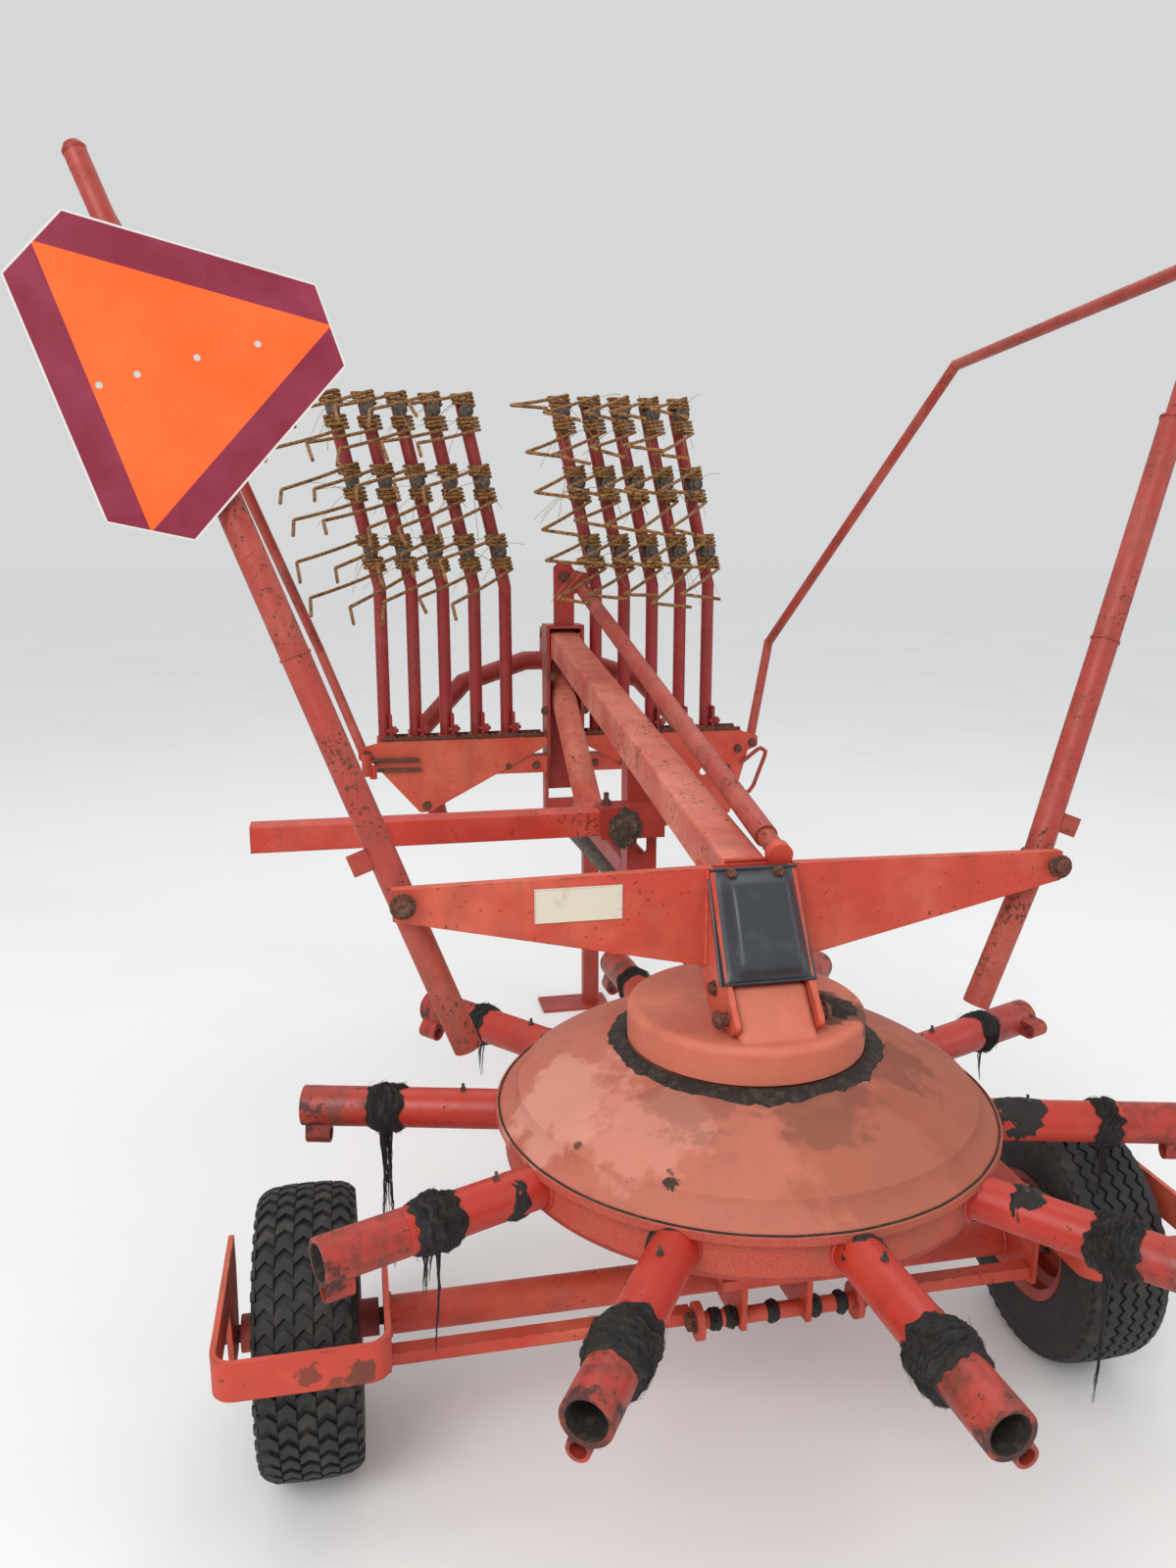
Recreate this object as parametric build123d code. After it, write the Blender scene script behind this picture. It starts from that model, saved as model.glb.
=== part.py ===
from build123d import *
from math import cos, radians, sin, tan
import os

os.makedirs("parts", exist_ok=True)

# Driving dimensions in mm. X is right, Y is the travel direction, Z is up.
# Y is counted from the rotor axis here, and the export moves it to the stand foot.
SEAT = 0.3
RUN_CLEAR = 0.05
SLIDE_CLEAR = 0.1

# Rotor dome, floor and hub
SKIRT_R = 415.0
RIM_OVER = 16.0
RIM_Z = 563.0
RIM_LIP = 8.0
RIM_FLAT = 10.0
DOME_SHEET = 4.0
DOME_KNEE_IN = 39.0
DOME_KNEE_Z = 604.0
DOME_SWEEP_IN = 4.0
DOME_MID_IN = 141.0
DOME_MID_Z = 657.0
DOME_HOLE_R = 168.0
DOME_HOLE_Z = 676.0
SKIRT_LOW_Z = 495.0
FLOOR_T = 6.0
HUB_R = 62.0
HUB_LOW_Z = 466.0
HUB_HIGH_Z = 600.0
COLUMN_R = 45.0

# Arms of the rotor
ARM_COUNT = 10
ARM_FIRST_DEG = 22.0
ARM_Z = 530.0
ARM_R = 35.0
ARM_WALL = 5.0
ARM_ROOT_IN = 75.0
ARM_END_R = 778.0
ARM_END_LEN = 128.0
MOUTH_R = 27.0
LUG_AXIS = 50.0
LUG_R = 16.0
LUG_BORE_R = 11.0
LUG_LEN = 42.0
LUG_SET_BACK = 6.0
# How far each arm end is turned about its arm, degrees from straight up
LUG_TURNS = (95.0, 160.0, 200.0, 215.0, 190.0, 180.0, 165.0, 215.0, 235.0, 180.0)

# Fixed drum over the rotor, with the raised block that the fork holds
CAP_R = 203.0
CAP_LOW_Z = 684.0
CAP_TOP_Z = 744.0
CAP_EDGE = 14.0
CAP_WALL = 6.0
BLOCK_EDGE = 11.0
BLOCK_SINK = 2.0
BLOCK_TOP_Z = 812.0
BLOCK_REAR_Y = -175.0
BLOCK_SLOPE_Y = -110.0
BLOCK_FRONT_Y = -10.0
DRIVE_BOSS_R = 32.0
DRIVE_BOSS_Y = 235.0
DRIVE_BOSS_LEN = 45.0

# Column foot and its bracket on the axle
COLUMN_LOW_Z = 318.0
BASE_T = 18.0
BASE_X = (-80.0, 110.0)
BASE_Y = (-160.0, 60.0)
# Lower edge of a hanger plate, from the rear to the front, as (y, z)
HANGER_EDGE = ((-160.0, 222.0), (-112.0, 212.0), (-50.0, 205.0), (34.0, 205.0), (60.0, 240.0))
PIVOT_Y = -133.0
PIVOT_Z = 232.0
PIVOT_R = 14.0
PIVOT_FLANGE_R = 31.0
PIVOT_FLANGE_T = 12.0
PIVOT_LEFT_X = -115.0
PIVOT_RIGHT_X = 168.0
HANGER_XS = (-42.0, 73.0)
HANGER_T = 10.0

# Running gear
WHEEL_Y = -8.0
WHEEL_R = 228.5
WHEEL_W = 165.0
WHEEL_LEFT_X = -752.0
WHEEL_RIGHT_X = 640.0
TYRE_SEAT_R = 105.0
BEAD_IN = 24.0
BEAD_H = 28.0
SIDE_IN = 6.0
BELLY_H = 58.0
SHOULDER_H = 22.0
TREAD_IN = 34.0
TYRE_ROUND = 9.0
RIM_LIP_H = 14.0
RIM_T = 4.5
WELL_R = 88.0
WELL_HALF = 27.0
WELL_SLOPE = 10.0
DISC_R = 74.0
DISC_T = 7.0
DISC_DISH = 16.0
HUB_HALF = 112.0
WHEEL_HUB_R = 30.0
STUB_R = 14.0
AXLE_R = 31.0
FORK_Z = 343.0
FORK_H = 62.0
FORK_T = 9.0
FORK_IN = 46.0
FORK_OUT = 48.0
FORK_REAR = 38.0
FORK_CORNER_R = 34.0
FORK_FRONT_Y = 52.0
STAY_Y = -106.0
STAY_D = 26.0
STAY_H = 22.0
STAY_Z = 226.0
STAY_WALL = 4.0

# Main beam, a square tube that rises to the mast
BEAM_W = 80.0
BEAM_WALL = 5.0
BEAM_EDGE_R = 9.0
BEAM_Y0 = 18.0
BEAM_Y1 = 1698.0
BEAM_TOP_Z0 = 988.0
BEAM_TOP_Z1 = 1234.0

# Head fork and wings
HEAD_W = 150.0
HEAD_PLATE_T = 10.0
HEAD_TOP_Z = 985.0
HEAD_SHELF_Z = 822.0
HEAD_CORNER_R = 10.0
# Lower part of a fork plate's outline, from the front to the rear edge, as (y, z)
CHEEK_FORM = ((60.0, 822.0), (-40.0, 748.0), (-150.0, 748.0), (-173.0, 768.0), (-118.0, 822.0))
CHEEK_TOP_Y = (-18.0, 60.0)
FORK_PIN_OVER = 14.0
FORK_EYE_Y = -130.0
FORK_EYE_Z = 770.0
FORK_EYE_R = 11.0
WING_Y = -12.0
WING_T = 8.0
WING_FLANGE = 20.0
WING_TOP_Z = 987.0
WING_ROOT_LOW_Z = 815.0
WING_TIP_LOW_Z = 928.0
WING_TIP_TOP_Z = 980.0
WING_TIP_OVER = 15.0
COVER_T = 3.0
COVER_LIP = 14.0
COVER_BULGE = 17.0
COVER_ROUND = 2.4
COVER_LOW = (-118.0, 822.0)
COVER_TOP = (-18.0, 985.0)

# Mast
MAST_Y = 1700.0
MAST_WEB_Y = 1780.0
MAST_HALF_W = 58.0
MAST_T = 10.0
MAST_TOP_Z = 1250.0
MAST_WEB_LOW_Z = 740.0
MAST_LOW_Z = 600.0
POST_Y = 1720.0
POST_T = 12.0
POST_HALF_W = 31.0
POST_TOP_Z = 1446.0
POST_HOLE_Z = 1404.0
SPINDLE_X = 54.0
SPINDLE_R = 21.0
SPINDLE_NECK_R = 17.0
SPINDLE_Y = (15.3, 1745.0)
SPINDLE_Z = (1002.0, 1375.0)
SPINDLE_NECK_L = 56.0
SPINDLE_BOSS_L = 19.0
STRUT_R = 38.0
STRUT_Y = (1290.0, 1830.0)
STRUT_Z = (745.0, 1097.5)
BEARING_Z = (612.0, 716.0)
# Sides of the post from the head down to the waist, as (x, z)
POST_EAR = ((31.0, 1352.0), (76.0, 1366.0), (76.0, 1414.0), (31.0, 1424.0))
POST_CROWN_X = 18.0
POST_SHOULDER = 14.0

# Cross channel, racks and the stored tine arms
CROSS_Y = 1708.0
CROSS_D = 50.0
CROSS_LOW_Z = 808.0
CROSS_TOP_Z = 860.0
CROSS_HALF = 530.0
CROSS_WALL = 5.0
RACK_T = 8.0
RACK_TOP_Z = 920.0
RAIL_D = 76.0
RAIL_HALF = 570.0
RAIL_SLOT_L = 34.0
RAIL_SLOT_W = 20.0
RACK_CORNER_R = 9.0
SOCKET_WALL = 6.0
SOCKET_LOW = 20.0
SOCKET_HIGH = 12.0
RACK_HOLE = (445.0, 792.0)
RACK_HOLE_R = 13.0
# Rack outlines past the mast as (distance from the middle, height) points, and the height at the mast
RACK_FORMS = {
    "left": ((562.0, 920.0), (630.0, 902.0), (630.0, 868.0), (592.0, 862.0), (452.0, 700.0), (424.0, 700.0)),
    "right": ((562.0, 920.0), (622.0, 902.0), (622.0, 868.0), (590.0, 856.0), (534.0, 652.0), (504.0, 652.0)),
}
RACK_ROOT_Z = 893.0
TINE_ARM_Y = 1746.0
TINE_ARM_R = 19.0
TINE_BASE_Z = 886.0
TINE_BEND_Z = 1375.0
TINE_TOP_Z = 1905.0
TINE_LEAN_DEG = 12.8
TINE_SETS = (1478.0, 1675.0, 1872.0)
COIL_R = 34.0
COIL_L = 40.0
COIL_GAP = 9.0
COIL_TURNS = 4
COIL_GROOVE = 3.6
WIRE_R = 4.75
LEG_L = 190.0
LEG_DROP = 24.0
LEG_BACK = 30.0
LEG_TIP = 22.0
# Tine arms: tag, x at the rack
TINE_ARMS = (("l1", -548.0), ("l2", -455.0), ("l3", -363.0), ("l4", -270.0), ("l5", -177.0),
             ("r1", 103.0), ("r2", 192.0), ("r3", 281.0), ("r4", 371.0), ("r5", 460.0))

# Folding guards: each hinges about a line from the wing tip to the rack
HINGE_REAR_Z = 957.0
HINGE_FRONT_Y = 1660.0
HINGE_FRONT_Z = 880.0
GUARD_LEAN_DEG = 20.8
GUARD_R = 24.0
GUARD_TOP_R = 18.0
ROD_R = 14.5
REAR_PIN_R = 11.0
FRONT_PIN_R = 9.0
EYE_R = 17.0
EYE_START = 1714.0
EYE_END = 1741.0
# Thick and thin tube of a guard as (along, up) points of its folded plane
GUARD_THICK = ((48.0, -292.0), (46.0, 0.0), (100.0, 413.0), (160.0, 840.0), (213.0, 1230.0))
GUARD_THIN = ((1727.5, 0.0), (1900.0, 330.0), (1240.0, 1155.0), (205.0, 1172.0))
REAR_PIN_ALONG = (-26.0, 84.0)
FRONT_PIN_ALONG = (1694.0, 1756.0)
BORE_OVER = 14.0
LUG_PLATE_UP = 74.0
LUG_PLATE_W = 34.0
LUG_PLATE_H = 36.0
LUG_PLATE_T = 8.0
SIGN_FEET = ((148.0, 760.0), (174.0, 940.0))
SIGN_FOOT_R = 9.0
# Guards: tag, side, rear hinge x, front hinge x
GUARDS = (("left", -1, 578.0, 610.0), ("right", 1, 562.0, 602.0))

# Warning triangle on the left guard
SIGN_CENTRE = (-880.2, 131.6, 1770.9)
SIGN_NORMAL = (0.1768, -0.9799, 0.0929)
SIGN_T = 2.5
SIGN_SHORT_R = 247.9
SIGN_HALF_CUT = 64.0
SIGN_ROUND = 8.0
SIGN_TURN_DEG = -101.2
SIGN_HOLES = ((-54.6, -12.8), (31.4, 17.1), (-108.2, -31.7), (121.4, 43.6))
SIGN_HOLE_R = 5.0

# Swath bar and the frame under the beam
BAR_Y = 700.0
BAR_Z = 898.0
BAR_S = 58.0
BAR_WALL = 4.0
BAR_EDGE_R = 5.0
BAR_OUT_X = -864.0
BAR_IN_X = -46.0
COLLAR_WALL = 7.0
COLLAR_OUT_X = -112.0
HANGER_HALF_W = 35.0
HANGER_Y0 = 735.0
HANGER_Y1 = 795.0
HANGER_LOW_Z = 735.0
HANGER_WALL = 6.0
HANGER_HOLE_Z = 828.0
HANGER_HOLE_W = 24.0
HANGER_HOLE_H = 46.0
CHANNEL_TOP_Z = 780.0
CHANNEL_END_Y = 1410.0
CHANNEL_WALL = 6.0

# Drive tube and its stub
DRIVE_R = 24.0
DRIVE_Z0 = 712.0
DRIVE_Z1 = 640.0
DRIVE_END_Y = 1800.0
PTO_R = 17.4
SHOULDER_R = 33.0
SHOULDER_IN = 5.0
SHOULDER_OUT = 4.0
PTO_END_Y = 1872.0
BEARING_Y = 1740.0
BEARING_T = 12.0

# Hitch on its upright swivel pin
SWIVEL_Y = 1825.0
SWIVEL_R = 15.0
SWIVEL_LOW_Z = 770.0
SWIVEL_TOP_Z = 1172.0
HITCH_LUG_T = 12.0
HITCH_LUG_Z = (780.0, 1150.0)
TUBE_R = 28.0
TUBE_LOW_Z = 800.0
TUBE_TOP_Z = 1142.0
YOKE_HALF_W = 30.0
YOKE_LOW_Z = 820.0
YOKE_TOP_Z = 1120.0
ARCH_Y = 1945.0
ARCH_R = 30.0
LINK_SPREAD = 825.0
LINK_Z = 600.0
LINK_PIN_R = 14.0
LINK_PIN_L = 60.0
COLLAR_R = 24.0
ARCH_FOOT_X = 366.0
ARCH_FOOT_Z = 565.0
# Bends of the arch above a foot as (distance from the middle, height)
ARCH_BENDS = ((438.0, 905.0), (290.0, 1063.0), (90.0, 1130.0))
EAR_LOW_HALF = 32.0
EAR_TOP_HALF = 24.0
EAR_OVER = 28.0
YOKE_IN = 18.0
TOP_LINK_Z = 1210.0
TOP_LINK_R = 12.75
TOP_LINK_GAP = 52.0
TOP_LINK_T = 10.0

# Parking stand
STAND_X = 96.0
STAND_Y = 1795.0
STAND_S = 50.0
STAND_WALL = 5.0
STAND_EDGE_R = 6.0
SLEEVE_WEB_IN = 5.0
STAND_TOP_Z = 700.0
SLEEVE_WALL = 6.0
SLEEVE_LOW_Z = 600.0
FOOT_X0 = -70.0
FOOT_X1 = 150.0
FOOT_D = 120.0
FOOT_T = 8.0


def box(x0, x1, y0, y1, z0, z1):
    """A block between two corners."""
    return Pos((x0 + x1) / 2, (y0 + y1) / 2, (z0 + z1) / 2) * Box(abs(x1 - x0), abs(y1 - y0), abs(z1 - z0))


def rod(p0, p1, r, wall=0.0):
    """A round bar or tube between two points."""
    a = Vector(*p0)
    d = Vector(*p1) - a
    shape = extrude(Plane(origin=a, z_dir=d.normalized()) * Circle(r), d.length)
    if wall > 0:
        start = a - d.normalized()
        shape -= extrude(Plane(origin=start, z_dir=d.normalized()) * Circle(r - wall), d.length + 2)
    return shape


def bent_rod(points, r):
    """A round bar with a mitred bend at each inner point."""
    start = Vector(*points[0])
    d = (Vector(*points[1]) - start).normalized()
    section = Plane(origin=start, z_dir=d) * Circle(r)
    return sweep(section, path=Polyline(*points), transition=Transition.RIGHT)


def prism_x(points, x0, x1, corner=0.0):
    """A plate with an outline of (y, z) points between two x values, its corners rounded if asked."""
    face = make_face(Polyline(*[(0, y, z) for y, z in points], close=True))
    if corner > 0:
        face = fillet(face.vertices(), corner)
    return Pos(min(x0, x1), 0, 0) * extrude(face, abs(x1 - x0), dir=(1, 0, 0))


def prism_y(points, y0, y1, corner=0.0):
    """A plate with an outline of (x, z) points between two y values, its corners rounded if asked."""
    face = make_face(Polyline(*[(x, 0, z) for x, z in points], close=True))
    if corner > 0:
        face = fillet(face.vertices(), corner)
    return Pos(0, min(y0, y1), 0) * extrude(face, abs(y1 - y0), dir=(0, 1, 0))


def soften(shape, r, longer):
    """Rounds the edges that are longer than a given length."""
    return fillet([e for e in shape.edges() if e.length > longer], r)


def turned(points):
    """A body turned about the rotor axis from an outline of (r, z) points."""
    return revolve(make_face(Polyline(*[(r, 0, z) for r, z in points], close=True)), Axis.Z)


def rolled(points, corner=0.0):
    """A body turned about the X axis from an outline of (r, x) points, its corners rounded if asked."""
    face = make_face(Polyline(*[(r, -x, 0) for r, x in points], close=True))
    if corner > 0:
        face = fillet(face.vertices(), corner)
    return Rot(0, 0, 90) * revolve(face, Axis.Y)


def beam_top(y):
    """Height of the beam's top face at y."""
    return BEAM_TOP_Z0 + (BEAM_TOP_Z1 - BEAM_TOP_Z0) * (y - BEAM_Y0) / (BEAM_Y1 - BEAM_Y0)


def guard_axes(side, rear_x, front_x):
    """Hinge point, along and up directions of a guard's folded plane."""
    rear = Vector(side * rear_x, 0, HINGE_REAR_Z)
    along = (Vector(side * front_x, HINGE_FRONT_Y, HINGE_FRONT_Z) - rear).normalized()
    lean = radians(GUARD_LEAN_DEG)
    up = Vector(side * sin(lean), 0, cos(lean))
    up = (up - along * up.dot(along)).normalized()
    return rear, along, up


def guard_point(axes, along, up):
    """A point of a guard's folded plane."""
    p = axes[0] + axes[1] * along + axes[2] * up
    return (p.X, p.Y, p.Z)


nodes = {}

# Main beam: a square tube from the head fork into the mast
beam_end = MAST_WEB_Y - SEAT


def beam_prism(y0, y1, inset):
    """The beam's square section between two y values, made smaller by an inset all round."""
    low = BEAM_W - inset
    form = [(y0, beam_top(y0) - inset), (y1, beam_top(y1) - inset), (y1, beam_top(y1) - low), (y0, beam_top(y0) - low)]
    shape = prism_x(form, inset - BEAM_W / 2, BEAM_W / 2 - inset)
    return soften(shape, BEAM_EDGE_R - inset, 3 * BEAM_W)


nodes["main_beam"] = beam_prism(BEAM_Y0, beam_end, 0) - beam_prism(BEAM_Y0 - 1, beam_end + 1, BEAM_WALL)

# Head fork: two side plates joined by a front plate at the beam's end
cheek = [*CHEEK_FORM, (CHEEK_TOP_Y[0], HEAD_TOP_Z), (CHEEK_TOP_Y[1], HEAD_TOP_Z)]
plate_in = HEAD_W / 2 - HEAD_PLATE_T
spindle_run = Vector(0, SPINDLE_Y[1] - SPINDLE_Y[0], SPINDLE_Z[1] - SPINDLE_Z[0]).normalized()
spindle_foot = Vector(SPINDLE_X, SPINDLE_Y[0], SPINDLE_Z[0])
head = box(-plate_in - 1, plate_in + 1, BEAM_Y0 - SEAT - HEAD_PLATE_T, BEAM_Y0 - SEAT, HEAD_SHELF_Z, HEAD_TOP_Z)
for side in (-1, 1):
    head += prism_x(cheek, side * plate_in, side * HEAD_W / 2, HEAD_CORNER_R)
boss_top = spindle_foot - spindle_run * SEAT
boss_foot = boss_top - spindle_run * SPINDLE_BOSS_L
head += rod((boss_foot.X, boss_foot.Y, boss_foot.Z), (boss_top.X, boss_top.Y, boss_top.Z), SPINDLE_R + 1)
head -= rod((-HEAD_W, FORK_EYE_Y, FORK_EYE_Z), (HEAD_W, FORK_EYE_Y, FORK_EYE_Z), FORK_EYE_R + SEAT)
nodes["head_fork"] = head

# Wings: tapered channels with the web to the rear
for tag, side, rear_x, front_x in GUARDS:
    root = side * (HEAD_W / 2 + SEAT)
    tip = side * (rear_x + WING_TIP_OVER)
    front = WING_Y + WING_FLANGE
    wing = prism_y([(root, WING_ROOT_LOW_Z), (tip, WING_TIP_LOW_Z), (tip, WING_TIP_TOP_Z), (root, WING_TOP_Z)],
                   WING_Y, front)
    drop = WING_T * 1.02
    wing -= prism_y([(root - side, WING_ROOT_LOW_Z + drop), (tip + side, WING_TIP_LOW_Z + drop),
                     (tip + side, WING_TIP_TOP_Z - drop), (root - side, WING_TOP_Z - drop)],
                    WING_Y + WING_T, front + 1)
    axes = guard_axes(side, rear_x, front_x)
    wing -= rod(guard_point(axes, -40.0, 0.0), guard_point(axes, 40.0, 0.0), REAR_PIN_R + SEAT)
    nodes["wing_" + tag] = wing

# Head cover: a thin folded shell over the rear edges of the fork
cover_half = HEAD_W / 2 + SEAT + COVER_T
low = Vector(0, *COVER_LOW)
top = Vector(0, *COVER_TOP)
run = (top - low).normalized()
out = Vector(0, -run.Z, run.Y)


def cover_strip(start, end, rise, depth, half):
    """A strip over the fork's rear edges with a bulged top, from a depth below them to a rise over them."""
    a, b = start + out * rise, end + out * rise
    bulge = (a + b) * 0.5 + out * COVER_BULGE
    outline = ThreePointArc(a, bulge, b) + Polyline(b, end - out * depth, start - out * depth, a)
    return Pos(-half, 0, 0) * extrude(make_face(outline), 2 * half, dir=(1, 0, 0))


cover = cover_strip(low, top, SEAT + COVER_T, COVER_LIP - COVER_T - SEAT, cover_half)
cover = soften(cover, COVER_ROUND, (top - low).length * 0.9)
cover -= cover_strip(low - run * 9, top + run * 9, SEAT, COVER_LIP, HEAD_W / 2 + SEAT)
cover -= box(-HEAD_W, HEAD_W, WING_Y - SEAT, CHEEK_TOP_Y[1], WING_TIP_LOW_Z - 30, HEAD_TOP_Z + BEAM_W)
nodes["head_cover"] = cover

# Fixed drum, hollow below, with the block between the fork plates
cap = turned([(0, CAP_TOP_Z), (CAP_R, CAP_TOP_Z), (CAP_R, CAP_LOW_Z), (CAP_R - CAP_WALL, CAP_LOW_Z),
              (CAP_R - CAP_WALL, CAP_TOP_Z - CAP_WALL), (0, CAP_TOP_Z - CAP_WALL)])
for r, z, edge in ((CAP_R, CAP_TOP_Z, CAP_EDGE), (CAP_R - CAP_WALL, CAP_TOP_Z - CAP_WALL, CAP_EDGE - CAP_WALL)):
    rings = [e for e in cap.edges().filter_by(GeomType.CIRCLE) if abs(e.radius - r) < 0.1]
    cap = fillet([e for e in rings if abs(e.center().Z - z) < 0.1], edge)
block_half = plate_in - SEAT
block_low = CAP_TOP_Z - BLOCK_SINK
block = prism_x([(BLOCK_REAR_Y, block_low), (BLOCK_SLOPE_Y, BLOCK_TOP_Z), (BLOCK_FRONT_Y, BLOCK_TOP_Z),
                 (BLOCK_FRONT_Y, block_low)], -block_half, block_half)
cap += fillet([e for e in block.edges() if e.center().Z > block_low + 1], BLOCK_EDGE)
drive_run = Vector(0, DRIVE_END_Y - DRIVE_BOSS_Y, DRIVE_Z1 - DRIVE_Z0).normalized()
boss_end = Vector(0, DRIVE_BOSS_Y, DRIVE_Z0)
boss_start = boss_end - drive_run * DRIVE_BOSS_LEN
drive_a = boss_end + drive_run * SEAT
cap += rod((0, boss_start.Y, boss_start.Z), (0, boss_end.Y, boss_end.Z), DRIVE_BOSS_R)
cap -= rod((-HEAD_W, FORK_EYE_Y, FORK_EYE_Z), (HEAD_W, FORK_EYE_Y, FORK_EYE_Z), FORK_EYE_R + SEAT)
nodes["gear_cap"] = cap
pin_half = HEAD_W / 2 + FORK_PIN_OVER
nodes["fork_pin"] = rod((-pin_half, FORK_EYE_Y, FORK_EYE_Z), (pin_half, FORK_EYE_Y, FORK_EYE_Z), FORK_EYE_R)

# Column that the rotor turns on, and its bracket astride the axle
column_top = CAP_TOP_Z - CAP_WALL - SEAT
nodes["rotor_column"] = rod((0, 0, COLUMN_LOW_Z), (0, 0, column_top), COLUMN_R)
base_top = COLUMN_LOW_Z - SEAT
bracket = box(*BASE_X, *BASE_Y, base_top - BASE_T, base_top)
side_form = [(BASE_Y[0], base_top - 1), *HANGER_EDGE, (BASE_Y[1], base_top - 1)]
for x in HANGER_XS:
    bracket += prism_x(side_form, x - HANGER_T / 2, x + HANGER_T / 2)
bracket += rod((PIVOT_LEFT_X, PIVOT_Y, PIVOT_Z), (PIVOT_RIGHT_X, PIVOT_Y, PIVOT_Z), PIVOT_R)
for x in (PIVOT_LEFT_X, PIVOT_RIGHT_X):
    bracket += rod((x - PIVOT_FLANGE_T / 2, PIVOT_Y, PIVOT_Z), (x + PIVOT_FLANGE_T / 2, PIVOT_Y, PIVOT_Z),
                   PIVOT_FLANGE_R)
axle_z = WHEEL_R
bracket -= rod((WHEEL_LEFT_X, WHEEL_Y, axle_z), (WHEEL_RIGHT_X, WHEEL_Y, axle_z), AXLE_R + SEAT)
nodes["axle_bracket"] = bracket

# Rotor arms and their turned ends
arm_in_r = SKIRT_R - ARM_ROOT_IN
arm_tube_out_r = ARM_END_R - ARM_END_LEN
tubes = []
ends = []
for k in range(ARM_COUNT):
    turn = ARM_FIRST_DEG + k * 360.0 / ARM_COUNT
    tube = rod((arm_in_r, 0, 0), (arm_tube_out_r, 0, 0), ARM_R, ARM_WALL)
    end = rod((arm_tube_out_r + SEAT, 0, 0), (ARM_END_R, 0, 0), ARM_R)
    lug_x1 = ARM_END_R - LUG_SET_BACK
    lug_x0 = lug_x1 - LUG_LEN
    lug = box(lug_x0, lug_x1, -LUG_R, LUG_R, 0, LUG_AXIS)
    lug += rod((lug_x0, 0, LUG_AXIS), (lug_x1, 0, LUG_AXIS), LUG_R)
    lug -= rod((lug_x0 - 1, 0, LUG_AXIS), (lug_x1 + 1, 0, LUG_AXIS), LUG_BORE_R)
    end += Rot(LUG_TURNS[k], 0, 0) * lug
    end -= rod((arm_tube_out_r - 1, 0, 0), (ARM_END_R + 1, 0, 0), MOUTH_R)
    tubes.append(Pos(0, 0, ARM_Z) * Rot(0, 0, turn) * tube)
    ends.append(Pos(0, 0, ARM_Z) * Rot(0, 0, turn) * end)
nodes["arm_tubes"] = Compound(tubes)
nodes["arm_ends"] = Compound(ends)

# Rotor dome with its rolled rim and skirt
skirt_in = SKIRT_R - DOME_SHEET
rim_r = SKIRT_R + RIM_OVER
knee = Vector(rim_r - DOME_KNEE_IN, 0, DOME_KNEE_Z)
crown = Vector(rim_r - DOME_MID_IN, 0, DOME_MID_Z)
hole_edge = Vector(DOME_HOLE_R, 0, DOME_HOLE_Z)
flat = Vector(rim_r - RIM_FLAT, 0, RIM_Z + DOME_SHEET + 2)
sweep_mid = (knee + flat) * 0.5 - Vector(DOME_SWEEP_IN, 0, DOME_SWEEP_IN)
sheet = Vector(0, 0, DOME_SHEET)
inner_knee = knee - sheet - Vector(DOME_SHEET, 0, 0)
outline = ThreePointArc(hole_edge, crown, knee) + ThreePointArc(knee, sweep_mid, flat)
outline += Polyline(flat, (rim_r, 0, RIM_Z + DOME_SHEET), (rim_r, 0, RIM_Z - RIM_LIP), (SKIRT_R, 0, RIM_Z - RIM_LIP),
                    (SKIRT_R, 0, SKIRT_LOW_Z), (skirt_in, 0, SKIRT_LOW_Z), (skirt_in, 0, RIM_Z), inner_knee)
outline += ThreePointArc(inner_knee, crown - sheet - Vector(2, 0, 0), hole_edge - sheet)
outline += Line(hole_edge - sheet, hole_edge)
dome = revolve(make_face(outline), Axis.Z)
for k in range(ARM_COUNT):
    hole = rod((arm_in_r, 0, ARM_Z), (rim_r + 1, 0, ARM_Z), ARM_R + SEAT)
    dome -= Rot(0, 0, ARM_FIRST_DEG + k * 360.0 / ARM_COUNT) * hole
nodes["rotor_dome"] = dome

# Rotor floor with the hub on the column
hub_bore = COLUMN_R + RUN_CLEAR
floor_top = SKIRT_LOW_Z - SEAT
nodes["rotor_floor"] = turned([(hub_bore, HUB_LOW_Z), (HUB_R, HUB_LOW_Z), (HUB_R, floor_top - FLOOR_T),
                               (SKIRT_R, floor_top - FLOOR_T), (SKIRT_R, floor_top), (HUB_R, floor_top),
                               (HUB_R, HUB_HIGH_Z), (hub_bore, HUB_HIGH_Z)])

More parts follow.
